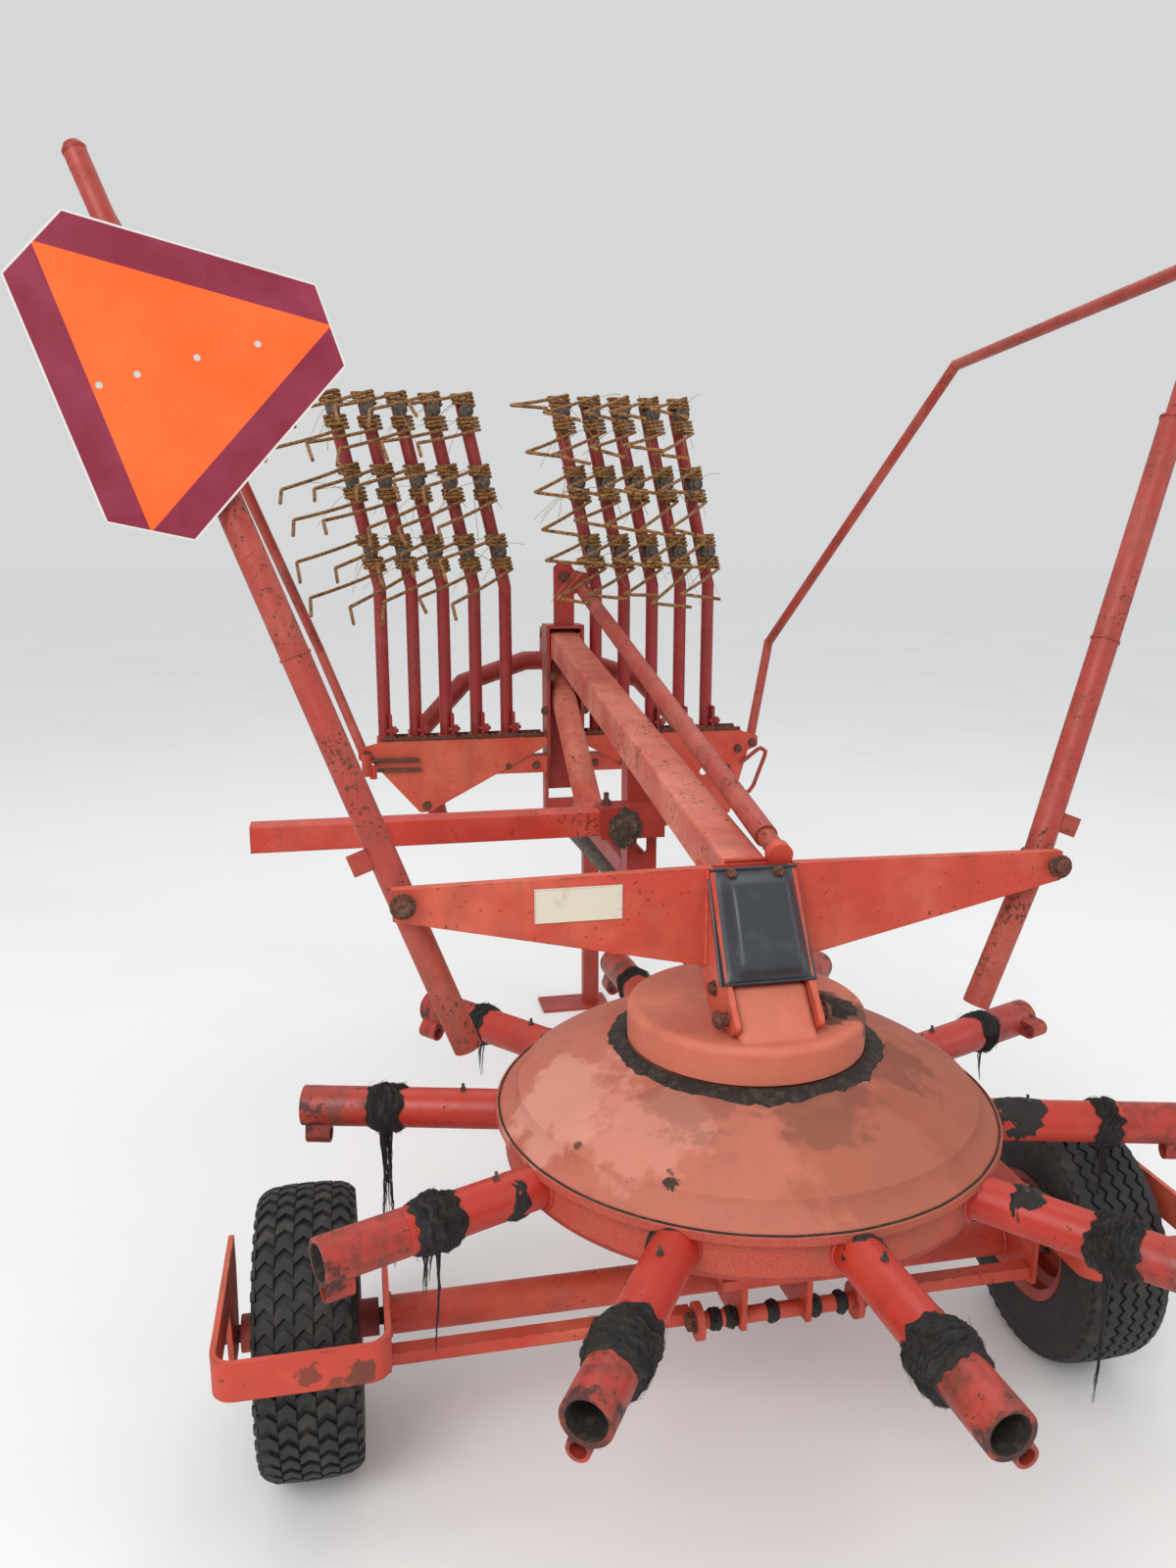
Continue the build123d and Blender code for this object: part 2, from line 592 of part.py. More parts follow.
# Wheels, forks and axle
pins = []
fork_inner = {}
for tag, side, wx in (("left", -1, WHEEL_LEFT_X), ("right", 1, WHEEL_RIGHT_X)):
    x_in = wx - side * (WHEEL_W / 2 + FORK_IN)
    x_out = wx + side * (WHEEL_W / 2 + FORK_OUT)
    fork_inner[tag] = x_in
    y_rear = WHEEL_Y - WHEEL_R - FORK_REAR
    low, top = FORK_Z - FORK_H / 2, FORK_Z + FORK_H / 2
    xs = sorted((x_in, x_out))
    loop = box(xs[0], xs[1], y_rear, FORK_FRONT_Y, low, top)
    loop = fillet(loop.edges().filter_by(Axis.Z).sort_by(Axis.Y)[:2], FORK_CORNER_R)
    hollow = box(xs[0] + FORK_T, xs[1] - FORK_T, y_rear + FORK_T, FORK_FRONT_Y + 1, low - 1, top + 1)
    hollow = fillet(hollow.edges().filter_by(Axis.Z).sort_by(Axis.Y)[:2], FORK_CORNER_R - FORK_T)
    loop -= hollow
    plate_form = [(STAY_Y - 20, low + 4), (FORK_FRONT_Y, low + 4), (WHEEL_Y + 42, axle_z - 30),
                  (WHEEL_Y + 22, axle_z - 42), (WHEEL_Y - 30, axle_z - 42), (STAY_Y - 20, axle_z - 20)]
    outer_form = [(WHEEL_Y - 60, low + 4), (FORK_FRONT_Y, low + 4), (WHEEL_Y + 42, axle_z - 30),
                  (WHEEL_Y + 22, axle_z - 42), (WHEEL_Y - 22, axle_z - 42), (WHEEL_Y - 42, axle_z - 30)]
    loop += prism_x(plate_form, x_in, x_in + side * FORK_T)
    loop += prism_x(outer_form, x_out, x_out - side * FORK_T)
    loop -= rod((xs[0] - 1, WHEEL_Y, axle_z), (xs[1] + 1, WHEEL_Y, axle_z), STUB_R + SEAT)
    nodes["wheel_fork_" + tag] = loop
    pins.append(rod((x_in, WHEEL_Y, axle_z), (x_out + side * 12, WHEEL_Y, axle_z), STUB_R))
    half = WHEEL_W / 2
    side_form = [(TYRE_SEAT_R, half - BEAD_IN), (TYRE_SEAT_R + BEAD_H, half - SIDE_IN), (TYRE_SEAT_R + BELLY_H, half),
                 (WHEEL_R - SHOULDER_H, half - SIDE_IN), (WHEEL_R, half - TREAD_IN)]
    tyre = rolled(side_form + [(r, -x) for r, x in reversed(side_form)], TYRE_ROUND)
    nodes["tyre_" + tag] = Pos(wx, WHEEL_Y, axle_z) * tyre
    seat_r = TYRE_SEAT_R - SEAT
    seat_x = half - BEAD_IN + SEAT
    lip_r = TYRE_SEAT_R + RIM_LIP_H
    lip_x = seat_x + (BEAD_IN - SIDE_IN) * RIM_LIP_H / BEAD_H + SEAT
    bore = STUB_R + RUN_CLEAR
    rim_form = [(bore, HUB_HALF), (WHEEL_HUB_R, HUB_HALF), (WHEEL_HUB_R, DISC_DISH), (DISC_R, DISC_T / 2),
                (WELL_R - RIM_T, DISC_T / 2), (WELL_R - RIM_T, WELL_HALF), (seat_r - RIM_T, WELL_HALF + WELL_SLOPE),
                (seat_r - RIM_T, seat_x + RIM_T), (lip_r, lip_x + RIM_T), (lip_r, lip_x), (seat_r, seat_x),
                (seat_r, WELL_HALF + WELL_SLOPE - RIM_T), (WELL_R, WELL_HALF - RIM_T)]
    rim = rolled(rim_form + [(r, -x) for r, x in reversed(rim_form)])
    nodes["wheel_rim_" + tag] = Pos(wx, WHEEL_Y, axle_z) * rim
nodes["wheel_pins"] = Compound(pins)
axle_x0 = fork_inner["left"] + SEAT
axle_x1 = fork_inner["right"] - SEAT
nodes["axle_tube"] = rod((axle_x0, WHEEL_Y, axle_z), (axle_x1, WHEEL_Y, axle_z), AXLE_R)
stays = []
flange_out = PIVOT_FLANGE_T / 2 + SEAT
for x0, x1 in ((axle_x0, PIVOT_LEFT_X - flange_out), (PIVOT_RIGHT_X + flange_out, axle_x1)):
    stay = box(x0, x1, STAY_Y - STAY_D / 2, STAY_Y + STAY_D / 2, STAY_Z - STAY_H / 2, STAY_Z + STAY_H / 2)
    stay -= box(x0 - 1, x1 + 1, STAY_Y - STAY_D / 2 + STAY_WALL, STAY_Y + STAY_D / 2 + 1,
                STAY_Z - STAY_H / 2 - 1, STAY_Z + STAY_H / 2 - STAY_WALL)
    stays.append(stay)
nodes["axle_stays"] = Compound(stays)

# Mast: an upright channel with its web to the front and lugs for the swivel pin
flange_form = [(MAST_Y, MAST_TOP_Z), (MAST_Y, 862.0), (1740.0, 800.0), (1740.0, MAST_LOW_Z),
               (MAST_WEB_Y + MAST_T, MAST_LOW_Z), (MAST_WEB_Y + MAST_T, MAST_TOP_Z)]
mast = box(-MAST_HALF_W, MAST_HALF_W, MAST_WEB_Y, MAST_WEB_Y + MAST_T, MAST_WEB_LOW_Z, MAST_TOP_Z)
for side in (-1, 1):
    mast += prism_x(flange_form, side * (MAST_HALF_W - MAST_T), side * MAST_HALF_W)
mast += box(-MAST_HALF_W, MAST_HALF_W, MAST_Y, MAST_WEB_Y + MAST_T, MAST_TOP_Z, MAST_TOP_Z + MAST_T)
for z in HITCH_LUG_Z:
    lug = box(-TUBE_R, TUBE_R, MAST_WEB_Y + MAST_T - 1, SWIVEL_Y, z, z + HITCH_LUG_T)
    lug += rod((0, SWIVEL_Y, z), (0, SWIVEL_Y, z + HITCH_LUG_T), TUBE_R)
    mast += lug
mast -= rod((0, SWIVEL_Y, SWIVEL_LOW_Z), (0, SWIVEL_Y, SWIVEL_TOP_Z), SWIVEL_R + SEAT)
mast += box(1 - MAST_HALF_W, MAST_HALF_W - 1, BEARING_Y, BEARING_Y + BEARING_T, *BEARING_Z)
drive_b = (0, DRIVE_END_Y, DRIVE_Z1)
mast -= rod((0, drive_a.Y, drive_a.Z), drive_b, DRIVE_R + SEAT)
nodes["mast_channel"] = mast
nodes["swivel_pin"] = rod((0, SWIVEL_Y, SWIVEL_LOW_Z), (0, SWIVEL_Y, SWIVEL_TOP_Z), SWIVEL_R)

post_low = MAST_TOP_Z + MAST_T + SEAT
post = prism_y([(-POST_HALF_W, post_low), (POST_HALF_W, post_low), *POST_EAR, (POST_CROWN_X, POST_TOP_Z),
                (-POST_CROWN_X, POST_TOP_Z), (-POST_HALF_W, POST_TOP_Z - POST_SHOULDER)], POST_Y, POST_Y + POST_T)
post -= rod((0, POST_Y - 1, POST_HOLE_Z), (0, POST_Y + POST_T + 1, POST_HOLE_Z), FORK_EYE_R)
nodes["mast_post"] = post

# Height spindle beside the beam, from the head's boss up to the post
neck_end = spindle_foot + spindle_run * SPINDLE_NECK_L
spindle = rod((SPINDLE_X, SPINDLE_Y[0], SPINDLE_Z[0]), (neck_end.X, neck_end.Y, neck_end.Z), SPINDLE_NECK_R)
spindle += rod((neck_end.X, neck_end.Y, neck_end.Z), (SPINDLE_X, SPINDLE_Y[1], SPINDLE_Z[1]), SPINDLE_R)
spindle -= box(SPINDLE_X - 2 * SPINDLE_R, SPINDLE_X + 2 * SPINDLE_R, POST_Y - SEAT, SPINDLE_Y[1] + 2 * SPINDLE_R,
               SPINDLE_Z[1] - 4 * SPINDLE_R, SPINDLE_Z[1] + 4 * SPINDLE_R)
nodes["height_spindle"] = spindle

# Steep strut between the lower channel and the mast
strut = rod((0, STRUT_Y[0], STRUT_Z[0]), (0, STRUT_Y[1], STRUT_Z[1]), STRUT_R)
strut -= box(-2 * STRUT_R, 2 * STRUT_R, MAST_WEB_Y - SEAT, STRUT_Y[1] + 2 * STRUT_R, STRUT_Z[0], STRUT_Z[1] + 200)
strut -= box(-2 * STRUT_R, 2 * STRUT_R, STRUT_Y[0] - 2 * STRUT_R, STRUT_Y[1], STRUT_Z[0] - 2 * STRUT_R,
             CHANNEL_TOP_Z + SEAT)
nodes["mast_strut"] = strut

# Cross channel halves beside the mast
halves = []
for side in (-1, 1):
    x0, x1 = side * (MAST_HALF_W + SEAT), side * CROSS_HALF
    y0, y1 = CROSS_Y + SEAT, CROSS_Y + CROSS_D
    part = box(x0, x1, y0, y1, CROSS_LOW_Z, CROSS_TOP_Z)
    part -= box(x0 - side, x1 + side, y0 + CROSS_WALL, y1 + 1, CROSS_LOW_Z + CROSS_WALL, CROSS_TOP_Z - CROSS_WALL)
    halves.append(part)
nodes["cross_channel"] = Compound(halves)

# Racks: an upright plate with a slotted rail, which the tine arms stand in
mast_side = MAST_HALF_W + SEAT
for tag, side, rear_x, front_x in GUARDS:
    axes = guard_axes(side, rear_x, front_x)
    form = [(mast_side, RACK_TOP_Z), *RACK_FORMS[tag], (mast_side, RACK_ROOT_Z)]
    rack = prism_y([(side * x, z) for x, z in form], MAST_Y, MAST_Y + RACK_T, RACK_CORNER_R)
    rack += box(side * mast_side, side * RAIL_HALF, MAST_Y + RACK_T - 1, MAST_Y + RACK_T + RAIL_D,
                RACK_TOP_Z - 8, RACK_TOP_Z)
    rack -= rod(guard_point(axes, FRONT_PIN_ALONG[0], 0.0), guard_point(axes, EYE_START, 0.0), FRONT_PIN_R + SEAT)
    places = [x for arm, x in TINE_ARMS if x * side > 0]
    for x in places:
        rack += rod((x, TINE_ARM_Y, RACK_TOP_Z - SOCKET_LOW), (x, TINE_ARM_Y, RACK_TOP_Z + SOCKET_HIGH),
                    TINE_ARM_R + SOCKET_WALL)
    for x in places:
        rack -= rod((x, TINE_ARM_Y, RACK_TOP_Z - SOCKET_LOW - 1), (x, TINE_ARM_Y, RACK_TOP_Z + SOCKET_HIGH + 1),
                    TINE_ARM_R + SEAT)
    for x0, x1 in zip(places, places[1:]):
        slot = extrude(Pos((x0 + x1) / 2, TINE_ARM_Y, RACK_TOP_Z - SOCKET_LOW) * SlotOverall(RAIL_SLOT_L, RAIL_SLOT_W),
                       2 * SOCKET_LOW)
        rack -= slot
    if tag == "right":
        rack -= rod((RACK_HOLE[0], MAST_Y - 1, RACK_HOLE[1]), (RACK_HOLE[0], MAST_Y + RACK_T + 1, RACK_HOLE[1]),
                    RACK_HOLE_R)
    nodes["rack_" + tag] = rack

# Tine arms stored upright, each with three pairs of coil tines
lean = radians(TINE_LEAN_DEG)
arms = {"l": [], "r": []}
tines = {"l": [], "r": []}
clamp_y = TINE_ARM_Y - TINE_ARM_R - SEAT
coil_y = clamp_y - COIL_R
# Wound coils above and below the clamp, with a groove between two turns
coil_form = [(0, COIL_GAP + COIL_L), (0, -COIL_GAP - COIL_L)]
for way in (-1, 1):
    for step in range(2 * COIL_TURNS + 1):
        if way < 0:
            height = -COIL_GAP - COIL_L + step * COIL_L / (2 * COIL_TURNS)
        else:
            height = COIL_GAP + step * COIL_L / (2 * COIL_TURNS)
        coil_form.append((COIL_R - (0 if step % 2 else COIL_GROOVE), height))
coil_body = turned(coil_form)
for arm, x in TINE_ARMS:
    top_x = x - (TINE_TOP_Z - TINE_BEND_Z) * tan(lean)
    arms[arm[0]].append(bent_rod([(x, TINE_ARM_Y, TINE_BASE_Z), (x, TINE_ARM_Y, TINE_BEND_Z),
                                  (top_x, TINE_ARM_Y, TINE_TOP_Z)], TINE_ARM_R))
    for z in TINE_SETS:
        cx = x - (z - TINE_BEND_Z) * tan(lean)
        pair = rod((cx, clamp_y, z), (cx, coil_y - COIL_R - 6, z), COIL_GAP)
        pair += Pos(cx, coil_y, z) * coil_body
        for up in (-1, 1):
            leg_z = z + up * (COIL_GAP + COIL_L - WIRE_R)
            knee = (cx - LEG_L, coil_y - LEG_BACK, leg_z - LEG_DROP)
            pair += bent_rod([(cx - 6, coil_y - COIL_R + 2 * WIRE_R, leg_z), knee,
                              (knee[0] - LEG_TIP * 0.4, knee[1], knee[2] - LEG_TIP)], WIRE_R)
        tines[arm[0]].append(pair)
for key, tag in (("l", "left"), ("r", "right")):
    nodes["tine_arms_" + tag] = Compound(arms[key])
    nodes["coil_tines_" + tag] = Compound(tines[key])

# Hanger under the beam with the collar for the swath bar
hanger_top = beam_top(HANGER_Y0) - BEAM_W - SEAT
hanger_top_front = beam_top(HANGER_Y1) - BEAM_W - SEAT
hanger = prism_x([(HANGER_Y0, HANGER_LOW_Z), (HANGER_Y1, HANGER_LOW_Z), (HANGER_Y1, hanger_top_front),
                  (HANGER_Y0, hanger_top)], -HANGER_HALF_W, HANGER_HALF_W)
hanger_in = HANGER_HALF_W - HANGER_WALL
hanger -= box(-hanger_in, hanger_in, HANGER_Y0 + HANGER_WALL, HANGER_Y1 + 1, CHANNEL_TOP_Z + HANGER_WALL,
              hanger_top_front + 1)
hole_plane = Plane(origin=(0, HANGER_Y0 - 1, HANGER_HOLE_Z), x_dir=(0, 0, 1), z_dir=(0, 1, 0))
hanger -= extrude(hole_plane * SlotOverall(HANGER_HOLE_H, HANGER_HOLE_W), HANGER_WALL + 2)
hole = BAR_S / 2 + SLIDE_CLEAR
shell_half = hole + COLLAR_WALL
collar = box(COLLAR_OUT_X, HANGER_HALF_W, BAR_Y - shell_half, BAR_Y + shell_half,
             BAR_Z - shell_half, BAR_Z + shell_half)
collar -= box(COLLAR_OUT_X - 1, HANGER_HALF_W + 1, BAR_Y - hole, BAR_Y + hole, BAR_Z - hole, BAR_Z + hole)
nodes["bar_hanger"] = hanger + collar
bar = box(BAR_OUT_X, BAR_IN_X, BAR_Y - BAR_S / 2, BAR_Y + BAR_S / 2, BAR_Z - BAR_S / 2, BAR_Z + BAR_S / 2)
bar = soften(bar, BAR_EDGE_R, 4 * BAR_S)
bar_in = BAR_S / 2 - BAR_WALL
bar -= box(BAR_OUT_X - 1, BAR_IN_X + 1, BAR_Y - bar_in, BAR_Y + bar_in, BAR_Z - bar_in, BAR_Z + bar_in)
nodes["swath_bar"] = bar

# Lower channel, open on top, from the hanger to the strut
y0 = HANGER_Y1 + SEAT
channel = box(-HANGER_HALF_W, HANGER_HALF_W, y0, CHANNEL_END_Y, HANGER_LOW_Z, CHANNEL_TOP_Z)
channel -= box(CHANNEL_WALL - HANGER_HALF_W, HANGER_HALF_W - CHANNEL_WALL, y0 - 1, CHANNEL_END_Y + 1,
               HANGER_LOW_Z + CHANNEL_WALL, CHANNEL_TOP_Z + 1)
nodes["lower_channel"] = channel

# Drive tube under the beam, ending in the stub for the drive shaft
drive = rod((0, drive_a.Y, drive_a.Z), drive_b, DRIVE_R)
drive += rod((0, DRIVE_END_Y - SHOULDER_IN, DRIVE_Z1), (0, DRIVE_END_Y + SHOULDER_OUT, DRIVE_Z1), SHOULDER_R)
drive += rod((0, DRIVE_END_Y, DRIVE_Z1), (0, PTO_END_Y, DRIVE_Z1), PTO_R)
nodes["drive_tube"] = drive

# Guards and their pins
hinge_pins = []
for tag, side, rear_x, front_x in GUARDS:
    axes = guard_axes(side, rear_x, front_x)
    guard = bent_rod([guard_point(axes, a, b) for a, b in GUARD_THICK[:-1]], GUARD_R)
    guard += bent_rod([guard_point(axes, a, b) for a, b in GUARD_THICK[-2:]], GUARD_TOP_R)
    guard += bent_rod([guard_point(axes, a, b) for a, b in GUARD_THIN], ROD_R)
    guard += rod(guard_point(axes, EYE_START, 0.0), guard_point(axes, EYE_END, 0.0), EYE_R)
    # Small plate on the outer side of the thick tube above its pin
    outward = side * axes[1].cross(axes[2])
    spot = Vector(*guard_point(axes, GUARD_THICK[1][0], LUG_PLATE_UP)) + outward * (GUARD_R + LUG_PLATE_W / 2 - 4)
    lug_plane = Plane(origin=spot, x_dir=outward, z_dir=axes[1])
    guard += lug_plane * Box(LUG_PLATE_W, LUG_PLATE_H, LUG_PLATE_T)
    rear_bore = REAR_PIN_ALONG[1] + BORE_OVER
    guard -= rod(guard_point(axes, 0.0, 0.0), guard_point(axes, rear_bore, 0.0), REAR_PIN_R + RUN_CLEAR)
    front_bore = (EYE_START - BORE_OVER, EYE_END + BORE_OVER)
    guard -= rod(guard_point(axes, front_bore[0], 0.0), guard_point(axes, front_bore[1], 0.0),
                 FRONT_PIN_R + RUN_CLEAR)
    if tag == "left":
        centre = Vector(*SIGN_CENTRE)
        normal = Vector(*SIGN_NORMAL).normalized()
        for a, b in SIGN_FEET:
            p = Vector(*guard_point(axes, a, b))
            reach = (centre - p).dot(normal) - SIGN_T / 2 - SEAT
            q = p + normal * reach
            guard += rod((p.X, p.Y, p.Z), (q.X, q.Y, q.Z), SIGN_FOOT_R)
    nodes["guard_" + tag] = guard
    for ends_along, r in ((REAR_PIN_ALONG, REAR_PIN_R), (FRONT_PIN_ALONG, FRONT_PIN_R)):
        hinge_pins.append(rod(guard_point(axes, ends_along[0], 0.0), guard_point(axes, ends_along[1], 0.0), r))
nodes["hinge_pins"] = Compound(hinge_pins)

# Warning triangle: a thin sheet with cut corners
corners = []
for k in range(3):
    a = radians(SIGN_TURN_DEG + 120.0 * k)
    for cut in (-SIGN_HALF_CUT, SIGN_HALF_CUT):
        corners.append((SIGN_SHORT_R * cos(a) - cut * sin(a), SIGN_SHORT_R * sin(a) + cut * cos(a)))
sign_plane = Plane(origin=SIGN_CENTRE, x_dir=(1, 0, 0), z_dir=SIGN_NORMAL)
sign = make_face(Polyline(*[(x, y, 0) for x, y in corners], close=True))
sign = fillet(sign.vertices(), SIGN_ROUND)
for x, y in SIGN_HOLES:
    sign -= Pos(x, y, 0) * Circle(SIGN_HOLE_R)
nodes["warning_triangle"] = sign_plane * extrude(Pos(0, 0, -SIGN_T / 2) * sign, SIGN_T, dir=(0, 0, 1))

# Hitch: column on the swivel pin, yoke, bent arch and its link pins
hitch = rod((0, SWIVEL_Y, TUBE_LOW_Z), (0, SWIVEL_Y, TUBE_TOP_Z), TUBE_R)
hitch += box(-YOKE_HALF_W, YOKE_HALF_W, SWIVEL_Y + YOKE_IN, ARCH_Y - YOKE_IN, YOKE_LOW_Z, YOKE_TOP_Z)
hitch -= rod((0, SWIVEL_Y, TUBE_LOW_Z - 1), (0, SWIVEL_Y, TUBE_TOP_Z + 1), SWIVEL_R + RUN_CLEAR)
arch_foot = (ARCH_FOOT_X, ARCH_FOOT_Z)
left_half = [(-x, ARCH_Y, z) for x, z in (arch_foot, *ARCH_BENDS)]
arch = bent_rod(left_half + [(-x, y, z) for x, y, z in reversed(left_half)], ARCH_R)
hitch += arch
for side in (-1, 1):
    shoulder = side * LINK_SPREAD / 2
    hitch += rod((side * ARCH_FOOT_X, ARCH_Y, LINK_Z), (shoulder, ARCH_Y, LINK_Z), COLLAR_R)
    hitch += rod((side * ARCH_FOOT_X, ARCH_Y, LINK_Z), (shoulder + side * LINK_PIN_L, ARCH_Y, LINK_Z), LINK_PIN_R)
    ear_low, ear_top = ARCH_BENDS[-1][1], TOP_LINK_Z + EAR_OVER
    ear = prism_x([(ARCH_Y - EAR_LOW_HALF, ear_low), (ARCH_Y + EAR_LOW_HALF, ear_low),
                   (ARCH_Y + EAR_TOP_HALF, ear_top), (ARCH_Y - EAR_TOP_HALF, ear_top)],
                  side * TOP_LINK_GAP / 2, side * (TOP_LINK_GAP / 2 + TOP_LINK_T), HEAD_CORNER_R)
    hitch += ear
hitch -= rod((-TOP_LINK_GAP, ARCH_Y, TOP_LINK_Z), (TOP_LINK_GAP, ARCH_Y, TOP_LINK_Z), TOP_LINK_R)
nodes["hitch"] = hitch

# Parking stand: sleeve on the mast, square leg and foot
inner = STAND_S / 2 + SLIDE_CLEAR
outer = inner + SLEEVE_WALL
sleeve = box(STAND_X - outer, STAND_X + outer, STAND_Y - outer, STAND_Y + outer, SLEEVE_LOW_Z, STAND_TOP_Z)
sleeve += box(mast_side, STAND_X - outer + 1, STAND_Y - outer, STAND_Y - SLEEVE_WEB_IN, SLEEVE_LOW_Z, STAND_TOP_Z)
sleeve -= box(STAND_X - inner, STAND_X + inner, STAND_Y - inner, STAND_Y + inner, SLEEVE_LOW_Z - 1, STAND_TOP_Z + 1)
nodes["stand_sleeve"] = sleeve
leg_half = STAND_S / 2
leg = box(STAND_X - leg_half, STAND_X + leg_half, STAND_Y - leg_half, STAND_Y + leg_half, FOOT_T - 1, STAND_TOP_Z)
leg = soften(leg, STAND_EDGE_R, 3 * STAND_S)
leg_in = leg_half - STAND_WALL
leg -= box(STAND_X - leg_in, STAND_X + leg_in, STAND_Y - leg_in, STAND_Y + leg_in, FOOT_T, STAND_TOP_Z + 1)
leg += box(FOOT_X0, FOOT_X1, STAND_Y - FOOT_D / 2, STAND_Y + FOOT_D / 2, 0, FOOT_T)
nodes["parking_stand"] = leg

for name, shape in nodes.items():
    export_step(Pos(0, -STAND_Y, 0) * shape, "parts/" + name + ".step")
print(len(nodes), "nodes")
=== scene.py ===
"""Folded rotary rake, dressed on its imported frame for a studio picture."""

import functools
import logging
import math
import random
from dataclasses import dataclass
from enum import Enum

import bmesh
import bpy
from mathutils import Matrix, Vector, noise


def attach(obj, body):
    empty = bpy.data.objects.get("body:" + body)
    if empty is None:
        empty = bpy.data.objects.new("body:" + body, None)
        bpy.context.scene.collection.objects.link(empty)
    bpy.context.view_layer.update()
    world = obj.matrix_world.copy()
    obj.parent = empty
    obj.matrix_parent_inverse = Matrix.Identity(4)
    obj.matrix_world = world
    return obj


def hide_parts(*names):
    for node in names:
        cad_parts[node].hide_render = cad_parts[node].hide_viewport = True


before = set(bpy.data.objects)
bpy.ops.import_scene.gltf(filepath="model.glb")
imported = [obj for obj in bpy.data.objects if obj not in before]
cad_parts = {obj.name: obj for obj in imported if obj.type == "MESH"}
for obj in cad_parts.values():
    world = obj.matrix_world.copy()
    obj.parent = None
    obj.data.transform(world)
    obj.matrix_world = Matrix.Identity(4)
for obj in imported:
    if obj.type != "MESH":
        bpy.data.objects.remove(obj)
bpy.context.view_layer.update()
log = logging.getLogger("rake")

MM = 0.001
ROTOR_Y = -1795.0  # rotor axis in the frame, mm
RIGHT, UP, REAR = Vector((1, 0, 0)), Vector((0, 0, 1)), Vector((0, -1, 0))
WASHER = 1.6  # thickness of a washer, mm
Point = tuple[float, float, float]
Pairs = tuple[tuple[float, float], ...]
Socket = bpy.types.NodeSocket


def at(x: float, y: float, z: float) -> Vector:
    """Point of the frame in metres, from millimetres counted from the rotor axis and the ground."""
    return Vector((x * MM, (y + ROTOR_Y) * MM, z * MM))


def mm(x: float = 0.0, y: float = 0.0, z: float = 0.0) -> Vector:
    """Step in metres from millimetres."""
    return Vector((x * MM, y * MM, z * MM))


def turns(count: int) -> list[float]:
    """Angles of equal steps round a circle, radians."""
    return [2 * math.pi * k / count for k in range(count)]


def level_way(a: float) -> Vector:
    """Level direction at an angle from the right."""
    return Vector((math.cos(a), math.sin(a), 0))


def square_to(way: Vector) -> Vector:
    """Unit vector square to a direction."""
    return (UP if abs(way.z) < 0.9 else RIGHT).cross(way).normalized()


def linear(code: str) -> tuple[float, float, float, float]:
    """Turn an sRGB hex colour into linear light.

    Args:
        code: six hex digits with a hash sign.

    Returns:
        Linear red, green, blue and an alpha of one.
    """
    parts = [int(code[i:i + 2], 16) / 255 for i in (1, 3, 5)]
    red, green, blue = (c / 12.92 if c <= 0.04045 else ((c + 0.055) / 1.055) ** 2.4 for c in parts)
    return red, green, blue, 1.0


def place(name: str, data: bpy.types.ID) -> bpy.types.Object:
    """Make an object of a mesh, light or camera and link it to the scene.

    Args:
        name: name of the object.
        data: what it shows.

    Returns:
        The object.
    """
    obj = bpy.data.objects.new(name, data)
    bpy.context.scene.collection.objects.link(obj)
    return obj


